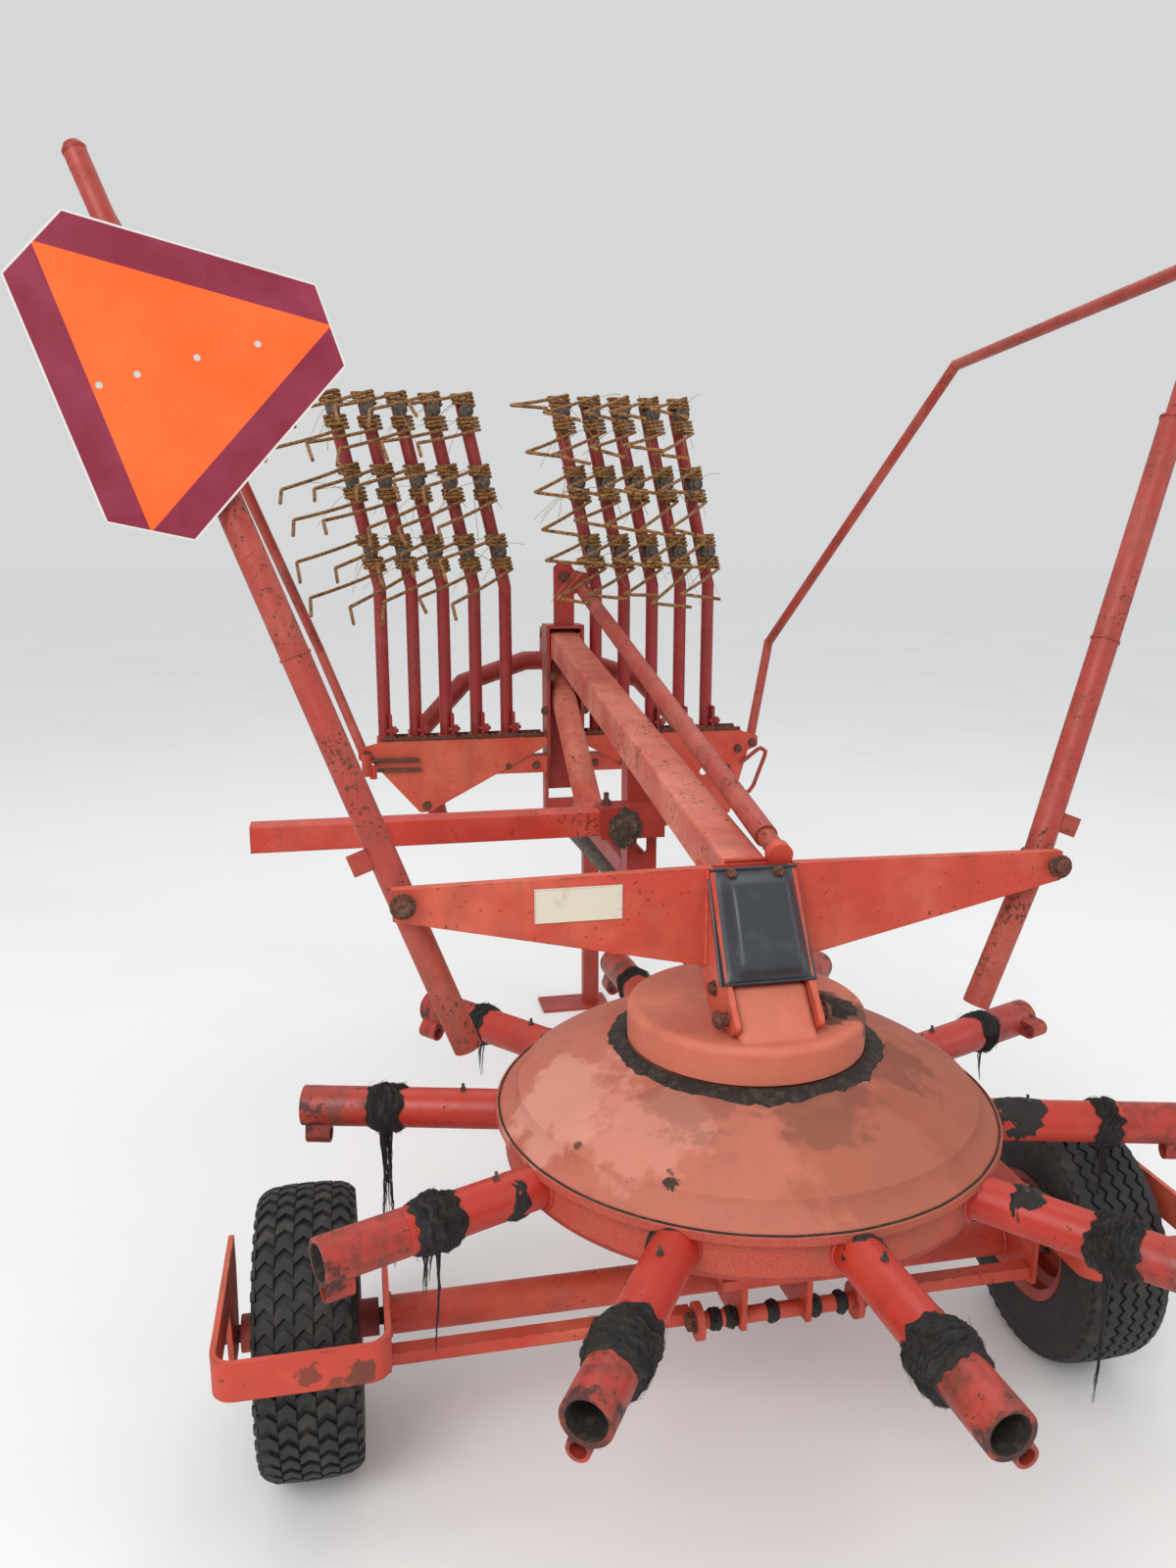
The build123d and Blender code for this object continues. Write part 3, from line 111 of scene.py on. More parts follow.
class Tree:
    """Node tree of a material or world, with short ways to add what the finishes share."""

    def __init__(self, owner: bpy.types.ID, out: str = "OutputMaterial") -> None:
        """Empty the tree but for its output, and for a material its object coordinates.

        Args:
            owner: material or world.
            out: type of the output node.
        """
        owner.use_nodes = True
        self.owner = owner
        self.tree = owner.node_tree
        self.tree.nodes.clear()
        self.out = self.add(out)
        self.coords = self.add("TexCoord").outputs["Object"] if out == "OutputMaterial" else None

    def add(self, kind: str, parts: dict | None = None) -> bpy.types.Node:
        """Add one node with its settings and links.

        Args:
            kind: node type without the ShaderNode prefix.
            parts: values by attribute name, and sockets or values by input name or index.

        Returns:
            The new node.
        """
        node = self.tree.nodes.new("ShaderNode" + kind)
        for key, value in (parts or {}).items():
            if isinstance(value, Socket):
                self.tree.links.new(value, node.inputs[key])
            elif isinstance(key, str) and hasattr(node, key) and key not in node.inputs:
                setattr(node, key, value)
            else:
                node.inputs[key].default_value = value
        return node

    def noise(self, size_mm: float, detail: float = 3.0, stretch: Point = (1, 1, 1),
              offset: float = 0.0) -> Socket:
        """Add a noise field.

        Args:
            size_mm: size of one patch.
            detail: number of finer layers.
            stretch: scale of each axis before the noise.
            offset: shift that makes two fields differ.

        Returns:
            The noise value, about 0.3 to 0.7.
        """
        moved = self.add("Mapping", {"Scale": stretch, "Location": (offset, offset * 0.7, offset * 1.3),
                                     "Vector": self.coords})
        return self.add("TexNoise", {"Scale": 1000.0 / size_mm, "Detail": detail, "Roughness": 0.6,
                                     "Vector": moved.outputs[0]}).outputs["Fac"]

    def span(self, value: Socket, low: float, high: float, start: float = 0.0, end: float = 1.0) -> Socket:
        """Map a value from low to high onto start to end, clamped.

        Args:
            value: the socket to map.
            low: input that gives start.
            high: input that gives end.
            start: first output.
            end: last output.

        Returns:
            The mapped value.
        """
        return self.add("MapRange", {"From Min": low, "From Max": high, "To Min": start, "To Max": end,
                                     "Value": value}).outputs[0]

    def math(self, operation: str, a: object, b: object, c: object = 0.0) -> Socket:
        """Add a sum of values or sockets by Blender's name of the operation, clamped from 0 to 1."""
        return self.add("Math", {"operation": operation, "use_clamp": True, 0: a, 1: b, 2: c}).outputs[0]

    def measure(self, operation: str, a: Socket, b: object) -> Socket:
        """Add a vector sum that gives one number, of a socket and a socket or a plain vector."""
        other = tuple(b) if isinstance(b, Vector) else b
        return self.add("VectorMath", {"operation": operation, 0: a, 1: other}).outputs["Value"]

    def mix(self, factor: object, a: object, b: object) -> Socket:
        """Mix two colours, each a hex code or a socket, by a factor from 0 to 1."""
        first, last = (linear(c) if isinstance(c, str) else c for c in (a, b))
        return self.add("Mix", {"data_type": "RGBA", 0: factor, 6: first, 7: last}).outputs[2]

    def blend(self, factor: Socket, a: object, b: object) -> Socket:
        """Mix two numbers, each a value or a socket, by a factor from 0 to 1."""
        return self.add("Mix", {"data_type": "FLOAT", 0: factor, 2: a, 3: b}).outputs[0]

    def edge(self, radius_mm: float) -> Socket:
        """Find the outer edges of a piece.

        Args:
            radius_mm: reach of the search.

        Returns:
            0 on flats, towards 1 at edges.
        """
        round_normal = self.add("Bevel", {"Radius": radius_mm * MM, "samples": 4}).outputs[0]
        true_normal = self.add("NewGeometry").outputs["Normal"]
        return self.span(self.measure("DOT_PRODUCT", round_normal, true_normal), 0.985, 0.86)

    def near(self, centre: Vector, radius: float, ragged: Socket) -> Socket:
        """Mask a ragged ball round a point.

        Args:
            centre: middle in the frame, metres.
            radius: reach in metres.
            ragged: noise that frays the edge.

        Returns:
            1 inside, 0 outside.
        """
        far = self.measure("DISTANCE", self.coords, centre)
        frayed = self.math("MULTIPLY_ADD", ragged, radius * 2.4, far)
        return self.span(frayed, radius * 2.15, radius * 1.9)

    def finish(self, colour: Socket, roughness: Socket, metallic: object, height: Socket,
               depth_mm: float) -> bpy.types.Material:
        """Close the material with one surface shader.

        Args:
            colour: base colour.
            roughness: roughness.
            metallic: number or socket.
            height: height of the bump from 0 to 1.
            depth_mm: depth of the full bump.

        Returns:
            The finished material.
        """
        bump = self.add("Bump", {"Strength": 1.0, "Distance": depth_mm * MM, "Height": height})
        shader = self.add("BsdfPrincipled", {"Base Color": colour, "Roughness": roughness,
                                             "Metallic": metallic, "Normal": bump.outputs[0]})
        self.tree.links.new(shader.outputs[0], self.out.inputs[0])
        return self.owner


@dataclass(frozen=True)
class Patch:
    """A ragged stain at one place."""

    centre: Point  # (x, y, z) in mm from the rotor axis
    radius: float  # reach in mm
    colour: str
    amount: float  # strength from 0 to 1
    rough: float  # roughness inside


@dataclass(frozen=True)
class Enamel:
    """Old sprayed enamel on steel that has faded, chipped and rusted outdoors."""

    fresh: str  # colour where the film is whole
    faded: str  # chalky colour of the weathered film
    shade: str  # darker colour of stains and thin film
    fade: float  # how much of the surface has faded
    patch_mm: float  # size of the faded patches
    chips: float  # share of chipped spots
    chip_mm: float  # size of a chip
    edge_wear: float  # strength of rust at edges
    grime: float  # strength of brown dirt in streaks
    gloss: float = 0.42  # roughness of the whole film
    grain: float = 0.4  # strength of the chalky grain
    skirt_z: float | None = None  # height in mm under which the film stays fresh, or None
    patches: tuple[Patch, ...] = ()  # stains at given places
    mottle_mm: float = 46.0  # size of the mottled stains
    stain: float = 0.4  # strength of the mottled stains

    def build(self, name: str) -> bpy.types.Material:
        """Build the enamel: colour by age, rust in chips and at edges, dirt in streaks.

        Args:
            name: material name.

        Returns:
            The material.
        """
        t = Tree(bpy.data.materials.new(name))
        large = t.noise(self.patch_mm, 4.0)
        mottled = t.noise(self.mottle_mm, 5.0, offset=3.1)
        fine = t.noise(2.2, 3.0, offset=7.7)
        up = t.add("SeparateXYZ", {0: t.add("NewGeometry").outputs["Normal"]}).outputs[2]
        # Chalky fading, most on what faces the sky
        aged = t.math("ADD", t.span(large, 0.62 - 0.35 * self.fade, 0.8 - 0.35 * self.fade),
                      t.span(up, 0.2, 1.0, 0.0, 0.55 * self.fade))
        if self.skirt_z is not None:
            z = t.add("SeparateXYZ", {0: t.coords}).outputs[2]
            aged = t.math("MULTIPLY", aged, t.span(z, self.skirt_z * MM, (self.skirt_z + 4) * MM, 0.12, 1.0))
        colour = t.mix(aged, self.fresh, self.faded)
        colour = t.mix(t.span(mottled, 0.46, 0.76, 0.0, self.stain), colour, self.shade)
        colour = t.mix(t.span(fine, 0.42, 0.66, 0.0, 0.45 * self.grain), colour, self.faded)
        # Brown dirt that ran down in streaks
        streak = t.noise(60.0, 4.0, (1.0, 1.0, 0.22), 1.9)
        colour = t.mix(t.span(streak, 0.5, 0.74, 0.0, self.grime), colour, "#4a3a2c")
        # Rust where the film is chipped, in clusters, and along edges
        spots = t.noise(self.chip_mm, 2.0, offset=5.3)
        where = t.noise(110.0, 3.0, offset=9.4)
        chip = t.math("GREATER_THAN", spots, t.span(where, 0.36, 0.62, 0.78, 0.78 - 0.23 * self.chips))
        worn = t.span(t.noise(24.0, 4.0, offset=6.6), 0.5, 0.58, 0.0, self.edge_wear)
        rusty = t.math("MAXIMUM", chip, t.math("MULTIPLY", t.edge(5.0), worn))
        colour = t.mix(rusty, colour, t.mix(t.span(fine, 0.35, 0.65), "#3c1d12", "#7a4326"))
        rough = t.span(mottled, 0.3, 0.7, self.gloss, self.gloss + 0.18)
        rough = t.blend(t.math("MULTIPLY", aged, 0.6), rough, 0.68)
        rough = t.blend(rusty, rough, 0.88)
        for patch in self.patches:
            ragged = t.noise(max(9.0, patch.radius * 0.55), 5.0, offset=2.2)
            mask = t.math("MULTIPLY", t.near(at(*patch.centre), patch.radius * MM, ragged), patch.amount)
            colour = t.mix(mask, colour, patch.colour)
            rough = t.blend(mask, rough, patch.rough)
        height = t.math("MULTIPLY", t.math("SUBTRACT", 1.0, rusty), 0.55)
        for texture, amount in ((fine, 0.16 + 0.2 * self.grain), (mottled, 0.2)):
            height = t.math("ADD", height, t.math("MULTIPLY", texture, amount))
        return t.finish(colour, rough, 0.0, height, 0.45)


@dataclass(frozen=True)
class RustySteel:
    """Bare steel that has rusted all over."""

    dark: str  # colour of the deep rust
    light: str  # colour of the flaking rust
    metal: float  # share of bare metal that shows
    flake_mm: float  # size of the flakes
    twist: Point = (1.0, 1.0, 1.0)  # scale of the axes, which turns flakes into bands
    cover: float = 0.56  # noise value at which the light rust covers

    def build(self, name: str) -> bpy.types.Material:
        """Build the rust: two colours in flakes and rubbed metal between.

        Args:
            name: material name.

        Returns:
            The material.
        """
        t = Tree(bpy.data.materials.new(name))
        flakes = t.noise(self.flake_mm, 4.0, self.twist)
        fine = t.noise(1.6, 2.0, offset=4.2)
        rubbed = t.span(t.noise(14.0, 3.0, offset=8.0), 0.5, 0.66, 0.0, self.metal)
        colour = t.mix(rubbed, t.mix(t.span(flakes, 0.44, self.cover), self.dark, self.light), "#6b625c")
        height = t.math("ADD", t.math("MULTIPLY", flakes, 0.6), t.math("MULTIPLY", fine, 0.4))
        return t.finish(colour, t.blend(rubbed, 0.86, 0.5), t.math("MULTIPLY", rubbed, 0.8), height, 0.6)


@dataclass(frozen=True)
class SoftCoat:
    """One matt or glossy substance with a fine texture, such as rubber, grease or moulded plastic."""

    base: str  # main colour
    other: str  # colour of the dusty or dry parts
    share: float  # share of the other colour
    size_mm: float  # size of its patches
    rough: tuple[float, float]  # lowest and highest roughness
    depth_mm: float  # depth of the texture
    grain_mm: float  # size of the texture

    def build(self, name: str) -> bpy.types.Material:
        """Build the coat: two colours in patches, with a grain.

        Args:
            name: material name.

        Returns:
            The material.
        """
        t = Tree(bpy.data.materials.new(name))
        patches = t.noise(self.size_mm, 5.0)
        grain = t.noise(self.grain_mm, 4.0, offset=6.0)
        dry = t.span(patches, 0.66 - 0.3 * self.share, 0.86 - 0.3 * self.share)
        colour = t.mix(dry, self.base, self.other)
        return t.finish(colour, t.span(patches, 0.35, 0.7, *self.rough), 0.0, grain, self.depth_mm)


@dataclass(frozen=True)
class SignFoil:
    """Foil on the warning triangle: orange middle, maroon border, white rim."""

    centre: Point = (-880.2, 131.6, 1770.9)  # middle of the sheet in mm from the rotor axis
    normal: Point = (0.1768, -0.9799, 0.0929)  # direction of its face
    turn_deg: float = -101.2  # direction of the first short edge in the sheet
    short_r: float = 247.9  # distance of a short edge from the middle, mm
    half_cut: float = 64.0  # half of a short edge, mm
    border: float = 55.5  # width of the maroon border, mm
    rim: float = 3.2  # width of the white rim, mm

    def build(self, name: str) -> bpy.types.Material:
        """Build the foil: each colour by its distance from the sheet's edges.

        Args:
            name: material name.

        Returns:
            The material.
        """
        t = Tree(bpy.data.materials.new(name))
        facing = Vector(self.normal).normalized()
        across = (RIGHT - facing * facing.x).normalized()
        rise = facing.cross(across)
        middle = tuple(at(*self.centre))
        moved = t.add("VectorMath", {"operation": "SUBTRACT", 0: t.coords, 1: middle}).outputs[0]
        # The long edges lie opposite the short ones
        long_r = (self.short_r + math.sqrt(3) * self.half_cut) / 2
        long_gap, short_gap = 1.0, 1.0
        for k in range(3):
            a = math.radians(self.turn_deg + 120 * k)
            along = t.measure("DOT_PRODUCT", moved, across * math.cos(a) + rise * math.sin(a))
            long_gap = t.math("MINIMUM", t.math("ADD", long_r * MM, along), long_gap)
            short_gap = t.math("MINIMUM", t.math("SUBTRACT", self.short_r * MM, along), short_gap)
        large = t.noise(120.0, 4.0, offset=2.0)
        orange = t.mix(t.span(large, 0.4, 0.7), "#ff5a12", "#f4641f")
        maroon = t.mix(t.span(large, 0.4, 0.65), "#7c1430", "#8a2440")
        colour = t.mix(t.math("GREATER_THAN", long_gap, self.border * MM), maroon, orange)
        rim = t.math("LESS_THAN", t.math("MINIMUM", long_gap, short_gap), self.rim * MM)
        scuff = t.math("GREATER_THAN", t.noise(7.0, 4.0, offset=3.0), 0.755)
        colour = t.mix(t.math("MAXIMUM", rim, t.math("MULTIPLY", scuff, 0.8)), colour, "#cfc9c4")
        side = t.measure("DOT_PRODUCT", t.add("NewGeometry").outputs["Normal"], facing)
        colour = t.mix(t.math("GREATER_THAN", side, 0.5), "#a9a7a2", colour)
        return t.finish(colour, t.span(large, 0.3, 0.7, 0.28, 0.42), 0.0, t.noise(3.0, 3.0), 0.08)


class Coat(Enum):
    """Finishes that the pieces take, by the real material and how its surface was made."""

    FRAME_RED = "worn frame enamel"  # warm red, half gloss, rust along the edges
    BEAM_RED = "chipped beam enamel"  # pinkish and dull on top, dark chips
    SHADE_RED = "deep red enamel with painted shade"  # darker copy of the frame red as painted shade, little faded
    ROTOR_RED = "chalked rotor enamel"  # dusty salmon with brown stains, fresh red on the skirt
    CAP_RED = "chalked drum enamel"  # the same chalk, a little redder
    ARM_RED = "glossy arm enamel"  # full colour with clear highlights
    TIP_RED = "greasy arm end enamel with painted shade"  # red that goes black towards the mouths, from grease and painted shade
    GUARD_RED = "dull guard enamel"  # brownish red with many rust spots
    TINE_ARM_RED = "dark tine arm enamel"  # deep cool red, glossy
    RIM_RED = "wheel rim enamel"  # dusty red in the shade of the tyre
    BRIGHT_RED = "touched up red enamel"  # brightest red, brushed on later
    WIRE = "twisted rust on spring wire"  # ochre and brown bands round the coils
    RUST = "brown rust on forged steel"  # dark brown nuts and pins
    STEEL = "oiled turned steel"  # near black with a metal sheen
    COVER = "moulded polyethylene cover"  # blue black, soft highlights
    RUBBER = "dusty natural rubber"  # black with grey dust
    GREASE = "old grease with hair"  # black, wet in places
    DRY_GREASE = "dry grease and dust"  # dull brown black
    MUD = "caked dry mud"  # dull earth brown
    HAY = "dry hay stalks"  # pale straw
    FOIL = "reflecting foil on aluminium"  # bright orange in maroon
    PLATE = "blank painted tin plate"  # cream
    FLOOR = "matt studio floor"  # pale, keeps the shadow


class Tread(Enum):
    """Tread patterns of the two tyres."""

    CHEVRON = "turf chevrons"
    ZIGZAG = "road zigzag ribs"


DOME_STAINS = (
    Patch((300, -200, 622), 210, "#8e4a34", 0.62, 0.9),
    Patch((110, -345, 622), 170, "#96513a", 0.6, 0.9),
    Patch((330, 90, 630), 150, "#854330", 0.5, 0.9),
    Patch((-340, -80, 630), 120, "#d29582", 0.5, 0.85),
    Patch((-230, -230, 645), 110, "#cd8c78", 0.45, 0.85),
    Patch((40, -215, 668), 120, "#6b4132", 0.55, 0.9),
    Patch((-150, -190, 668), 90, "#74483a", 0.45, 0.9),
    Patch((190, -110, 668), 110, "#64392b", 0.5, 0.9),
    Patch((-220, -317, 608), 13, "#241813", 0.95, 0.7),
    Patch((-214, -300, 612), 8, "#2a1b15", 0.9, 0.7),
    Patch((-330, -190, 610), 9, "#3a2219", 0.8, 0.7),
)
FORK_STAINS = (
    Patch((-742, -277, 338), 20, "#5f3325", 0.75, 0.85),
    Patch((-668, -277, 330), 27, "#4c3328", 0.8, 0.85),
    Patch((-705, -277, 316), 16, "#5a3527", 0.7, 0.85),
)
CAP_STAINS = (
    Patch((20, -196, 752), 6, "#2c1a14", 0.9, 0.7),
    Patch((130, -60, 746), 75, "#4a352b", 0.8, 0.9),
    Patch((-90, -40, 746), 100, "#a85c48", 0.5, 0.85),
    Patch((60, -190, 700), 90, "#c2634a", 0.4, 0.8),
)
# Dark patches at the arm ends: grease, and painted shade inside the mouths
END_GREASE_AND_SHADE = tuple(
    Patch((math.cos(a) * r, math.sin(a) * r, z), reach, colour, 0.85, 0.6)
    for a in (math.radians(22 + 36 * k) for k in range(10))
    for r, z, reach, colour in ((776, 520, 44, "#2b1a14"), (700, 500, 26, "#3a2219"))
)
FINISHES = {
    Coat.FRAME_RED: Enamel("#bb3723", "#c65a41", "#983424", 0.45, 260, 0.5, 8, 0.9, 0.25,
                           patches=FORK_STAINS),
    Coat.BEAM_RED: Enamel("#b23c29", "#c8705b", "#8f3d2e", 0.6, 220, 0.8, 9, 0.9, 0.3),
    # Darker copy of the frame red: painted shade
    Coat.SHADE_RED: Enamel("#97231a", "#a8402f", "#6f2118", 0.3, 200, 0.5, 8, 0.8, 0.4),
    Coat.ROTOR_RED: Enamel("#ad2e20", "#b1644f", "#985040", 1.0, 300, 0.16, 5, 0.5, 0.1, 0.7, 1.6, 566,
                           DOME_STAINS, 60.0, 0.6),
    Coat.CAP_RED: Enamel("#b74c36", "#c26a52", "#a8523e", 0.9, 200, 0.16, 5, 0.4, 0.12, 0.66, 1.3, None,
                         CAP_STAINS, 60.0, 0.45),
    Coat.ARM_RED: Enamel("#ae2818", "#b63d2c", "#8a2418", 0.35, 170, 0.6, 7, 0.8, 0.2, 0.3, 0.12,
                         mottle_mm=40.0, stain=0.3),
    Coat.TIP_RED: Enamel("#a32c1e", "#a83e30", "#3a1e17", 0.35, 90, 0.8, 9, 0.9, 0.8, 0.34, 0.3, None,
                         END_GREASE_AND_SHADE, 26.0, 0.85),
    Coat.GUARD_RED: Enamel("#9e3023", "#ab4d3c", "#722a1f", 0.4, 190, 0.95, 7, 0.9, 0.4),
    Coat.TINE_ARM_RED: Enamel("#8e1b1a", "#96302a", "#5c1614", 0.35, 120, 0.7, 9, 0.8, 0.45, 0.4, 0.2),
    Coat.RIM_RED: Enamel("#9a281c", "#ac4737", "#6e261c", 0.5, 90, 0.6, 8, 0.9, 0.5),
    Coat.BRIGHT_RED: Enamel("#bb3121", "#c54f3d", "#962b1d", 0.4, 170, 0.8, 9, 0.9, 0.3, 0.36, 0.2),
    Coat.WIRE: RustySteel("#35221a", "#a06c2e", 0.2, 8.0, (1.0, 1.0, 2.4), 0.53),
    Coat.RUST: RustySteel("#42231a", "#6f3c26", 0.35, 5.0),
    Coat.STEEL: RustySteel("#3b332e", "#5e5148", 0.9, 12.0),
    Coat.COVER: SoftCoat("#2c3036", "#3d4147", 0.4, 60, (0.34, 0.5), 0.12, 1.6),
    Coat.RUBBER: SoftCoat("#1f1e1d", "#3b3732", 0.55, 40, (0.62, 0.85), 0.25, 2.5),
    Coat.GREASE: SoftCoat("#171310", "#3a3027", 0.4, 9, (0.5, 0.85), 1.3, 2.2),
    Coat.DRY_GREASE: SoftCoat("#231c18", "#46392e", 0.6, 14, (0.82, 0.95), 1.4, 3.0),
    Coat.MUD: SoftCoat("#3a2f28", "#65523f", 0.6, 12, (0.88, 0.97), 1.2, 3.0),
    Coat.HAY: SoftCoat("#a08a5c", "#6d5a3a", 0.5, 20, (0.7, 0.85), 0.1, 2.0),
    Coat.FOIL: SignFoil(),
    Coat.PLATE: SoftCoat("#cfc5b4", "#b9aa94", 0.3, 30, (0.5, 0.7), 0.1, 4.0),
    Coat.FLOOR: SoftCoat("#e3e2df", "#e0dfdb", 0.5, 900, (0.85, 0.95), 0.02, 4.0),
}
# Slot name for each coat where a piece names no other, rusty_steel for the rest; looked up but given to no
# piece
SLOTS = {
    Coat.FRAME_RED: "red_paint", Coat.GUARD_RED: "red_paint", Coat.BRIGHT_RED: "red_paint",
    Coat.ARM_RED: "rotor_paint", Coat.TINE_ARM_RED: "tine_arm_paint", Coat.GREASE: "bare_steel",
    Coat.COVER: "black_cover", Coat.RUBBER: "tyre_rubber", Coat.PLATE: "sign_sheet",
}


@functools.cache
def paint(coat: Coat) -> bpy.types.Material:
    """Material of a coat, built on first use."""
    return FINISHES[coat].build(coat.value)


class Shape:
    """Collects the faces of one piece and makes its object."""

    def __init__(self) -> None:
        """Start without faces."""
        self.verts: list[Vector] = []
        self.faces: list[tuple[int, ...]] = []

    def add(self, verts: list[Vector], faces: list[tuple[int, ...]]) -> None:
        """Append faces that count from their own first vertex."""
        base = len(self.verts)
        self.verts.extend(verts)
        self.faces.extend(tuple(base + i for i in f) for f in faces)

    def rows(self, rows: list[list[Vector]], closed: bool = False, ring: bool = True) -> None:
        """Skin rows of points with quads, and close the ends of an open tube.

        Args:
            rows: rows of the same length.
            closed: join the last row to the first.
            ring: each row is a closed loop.
        """
        n, m = len(rows), len(rows[0])
        faces = []
        for i in range(n if closed else n - 1):
            for j in range(m if ring else m - 1):
                a, b = i * m, (i + 1) % n * m
                k = (j + 1) % m
                faces.append((a + j, a + k, b + k, b + j))
        if ring and not closed:
            faces.append(tuple(reversed(range(m))))
            faces.append(tuple(range((n - 1) * m, n * m)))
        self.add([p for row in rows for p in row], faces)

    def tube(self, points: list[Vector], radius: float | list[float], sides: int,
             closed: bool = False) -> None:
        """Sweep a round section along points.

        Args:
            points: the path.
            radius: one radius in mm, or one a point.
            sides: sides of the section.
            closed: the path is a loop.
        """
        n = len(points)
        radii = radius if isinstance(radius, list) else [radius] * n
        normal = square_to((points[1] - points[0]).normalized())
        rows = []
        for i in range(n):
            a = points[i - 1] if i > 0 or closed else points[i]
            b = points[(i + 1) % n] if i < n - 1 or closed else points[i]
            way = (b - a).normalized()
            normal = (normal - way * normal.dot(way)).normalized()
            other = way.cross(normal)
            rows.append([points[i] + (normal * math.cos(u) + other * math.sin(u)) * (radii[i] * MM)
                         for u in turns(sides)])
        self.rows(rows, closed)

    def lathe(self, profile: list[tuple[float, float]], origin: Vector, axis: Vector, steps: int,
              loop: bool = False) -> None:
        """Turn an outline about an axis.

        Args:
            profile: (radius, height) of its points, mm.
            origin: foot of the axis.
            axis: direction of the axis.
            steps: sides round the axis.
            loop: the outline is closed.
        """
        axis = axis.normalized()
        u = square_to(axis)
        v = axis.cross(u)
        ways = [u * math.cos(a) + v * math.sin(a) for a in turns(steps)]
        rows = [[origin + way * (r * MM) + axis * (h * MM) for r, h in profile] for way in ways]
        self.rows(rows, True, loop)

    def disc(self, foot: Vector, way: Vector, radius: float, height: float, steps: int) -> None:
        """Add a round boss or washer on a surface, sizes in mm."""
        self.lathe([(0, 0), (radius, 0), (radius, height), (0, height)], foot, way, steps)

    def block(self, centre: Vector, across: Vector, along: Vector, depth: Vector) -> None:
        """Add a block from its middle and three half edges."""
        ring = [centre - depth + across * a + along * b for a, b in ((-1, -1), (1, -1), (1, 1), (-1, 1))]
        self.rows([ring, [p + depth * 2 for p in ring]])

    def box(self, centre: Point, half: Point) -> None:
        """Add a block along the axes from its middle and half sizes in mm."""
        self.block(at(*centre), mm(half[0]), mm(0, half[1]), mm(0, 0, half[2]))

    def bolt(self, foot: Vector, way: Vector, across_mm: float, height_mm: float,
             washer: bool = True) -> None:
        """Add a hexagon head with its washer on a surface.

        Args:
            foot: point on the surface.
            way: direction out of the surface.
            across_mm: width over the flats.
            height_mm: height of the head.
            washer: add a washer under it.
        """
        way = way.normalized()
        r, h = across_mm / math.sqrt(3), height_mm
        if washer:
            self.disc(foot, way, r * 1.25, WASHER, 20)
            foot = foot + way * WASHER * MM
        self.lathe([(0, 0), (r, 0), (r, h * 0.85), (r * 0.86, h), (0, h)], foot, way, 6)

    def bead(self, points: list[Vector], radius_mm: float, seed: int) -> None:
        """Lay a weld bead with its ripples along a path.

        Args:
            points: corners of the path.
            radius_mm: size of the bead.
            seed: makes beads differ.
        """
        path = []
        for a, b in zip(points, points[1:]):
            count = max(2, int((b - a).length / (radius_mm * 0.9 * MM)))
            path.extend(a.lerp(b, i / count) for i in range(count))
        path.append(points[-1])
        rng = random.Random(seed)
        ripples = [(0.84, 1.1)[i % 2] + rng.uniform(-0.08, 0.08) for i in range(len(path))]
        self.tube(path, [radius_mm * f for f in ripples], 7)

    def seal(self, points: list[Vector], radius_mm: float) -> None:
        """Lay a rippled weld bead round a joint, of a size in mm."""
        self.tube(points, [3.6 if k % 2 else radius_mm for k in range(len(points))], 6, closed=True)

    def make(self, name: str, coat: Coat, body: str = "frame", slot: str = "", bevel_mm: float = 0.0,
             angle: float = 35.0) -> bpy.types.Object:
        """Make the object, paint it and let it ride on a body.

        Args:
            name: plain name of the piece.
            coat: its finish.
            body: CAD body it rides on.
            slot: not used.
            bevel_mm: rounding of sharp edges.
            angle: edges sharper than this stay sharp, degrees.

        Returns:
            The new object.
        """
        mesh = bpy.data.meshes.new(name)
        mesh.from_pydata([tuple(v) for v in self.verts], [], self.faces)
        cleaner = bmesh.new()
        cleaner.from_mesh(mesh)
        bmesh.ops.remove_doubles(cleaner, verts=cleaner.verts, dist=1e-6)
        bmesh.ops.recalc_face_normals(cleaner, faces=cleaner.faces)
        cleaner.to_mesh(mesh)
        cleaner.free()
        mesh.shade_smooth()
        mesh.set_sharp_from_angle(angle=math.radians(angle))
        obj = place(name, mesh)
        if bevel_mm > 0:
            soft = obj.modifiers.new("edges", "BEVEL")
            soft.width = bevel_mm * MM
            soft.segments = 2
            soft.limit_method = "ANGLE"
            soft.angle_limit = math.radians(40)
        mesh.materials.append(paint(coat))
        slot = slot or SLOTS.get(coat, "rusty_steel")
        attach(obj, body)
        log.info("%s rides on %s", name, body)
        return obj


@dataclass(frozen=True)
class Rotor:
    """Sizes of the rotor as in the frame, mm."""

    arms: int = 10
    first_deg: float = 22.0
    arm_z: float = 530.0
    arm_r: float = 35.0
    bead_r: float = 36.2
    skirt_r: float = 415.6
    rim_r: float = 431.0
    rim_z: float = 568.2
    mouth: float = 778.0
    nipple: float = 492.0
    # (radius, height) of the dome's top
    dome: Pairs = ((168, 676), (230, 667.8), (290, 657), (345, 635), (392, 604), (431, 567))

    def way(self, k: int) -> Vector:
        """Direction of an arm, outwards."""
        return level_way(math.radians(self.first_deg + 36.0 * k))

    def spot(self, k: int, along: float) -> Vector:
        """Point on the axis of an arm, mm from the rotor axis."""
        return at(0, 0, self.arm_z) + self.way(k) * along * MM

    def top(self, r: float) -> float:
        """Height of the dome's top at a radius.

        Args:
            r: distance from the rotor axis, mm.

        Returns:
            Height above the ground, mm.
        """
        for (r0, z0), (r1, z1) in zip(self.dome, self.dome[1:]):
            if r <= r1:
                return z0 + (z1 - z0) * (r - r0) / (r1 - r0)
        return self.dome[-1][1]


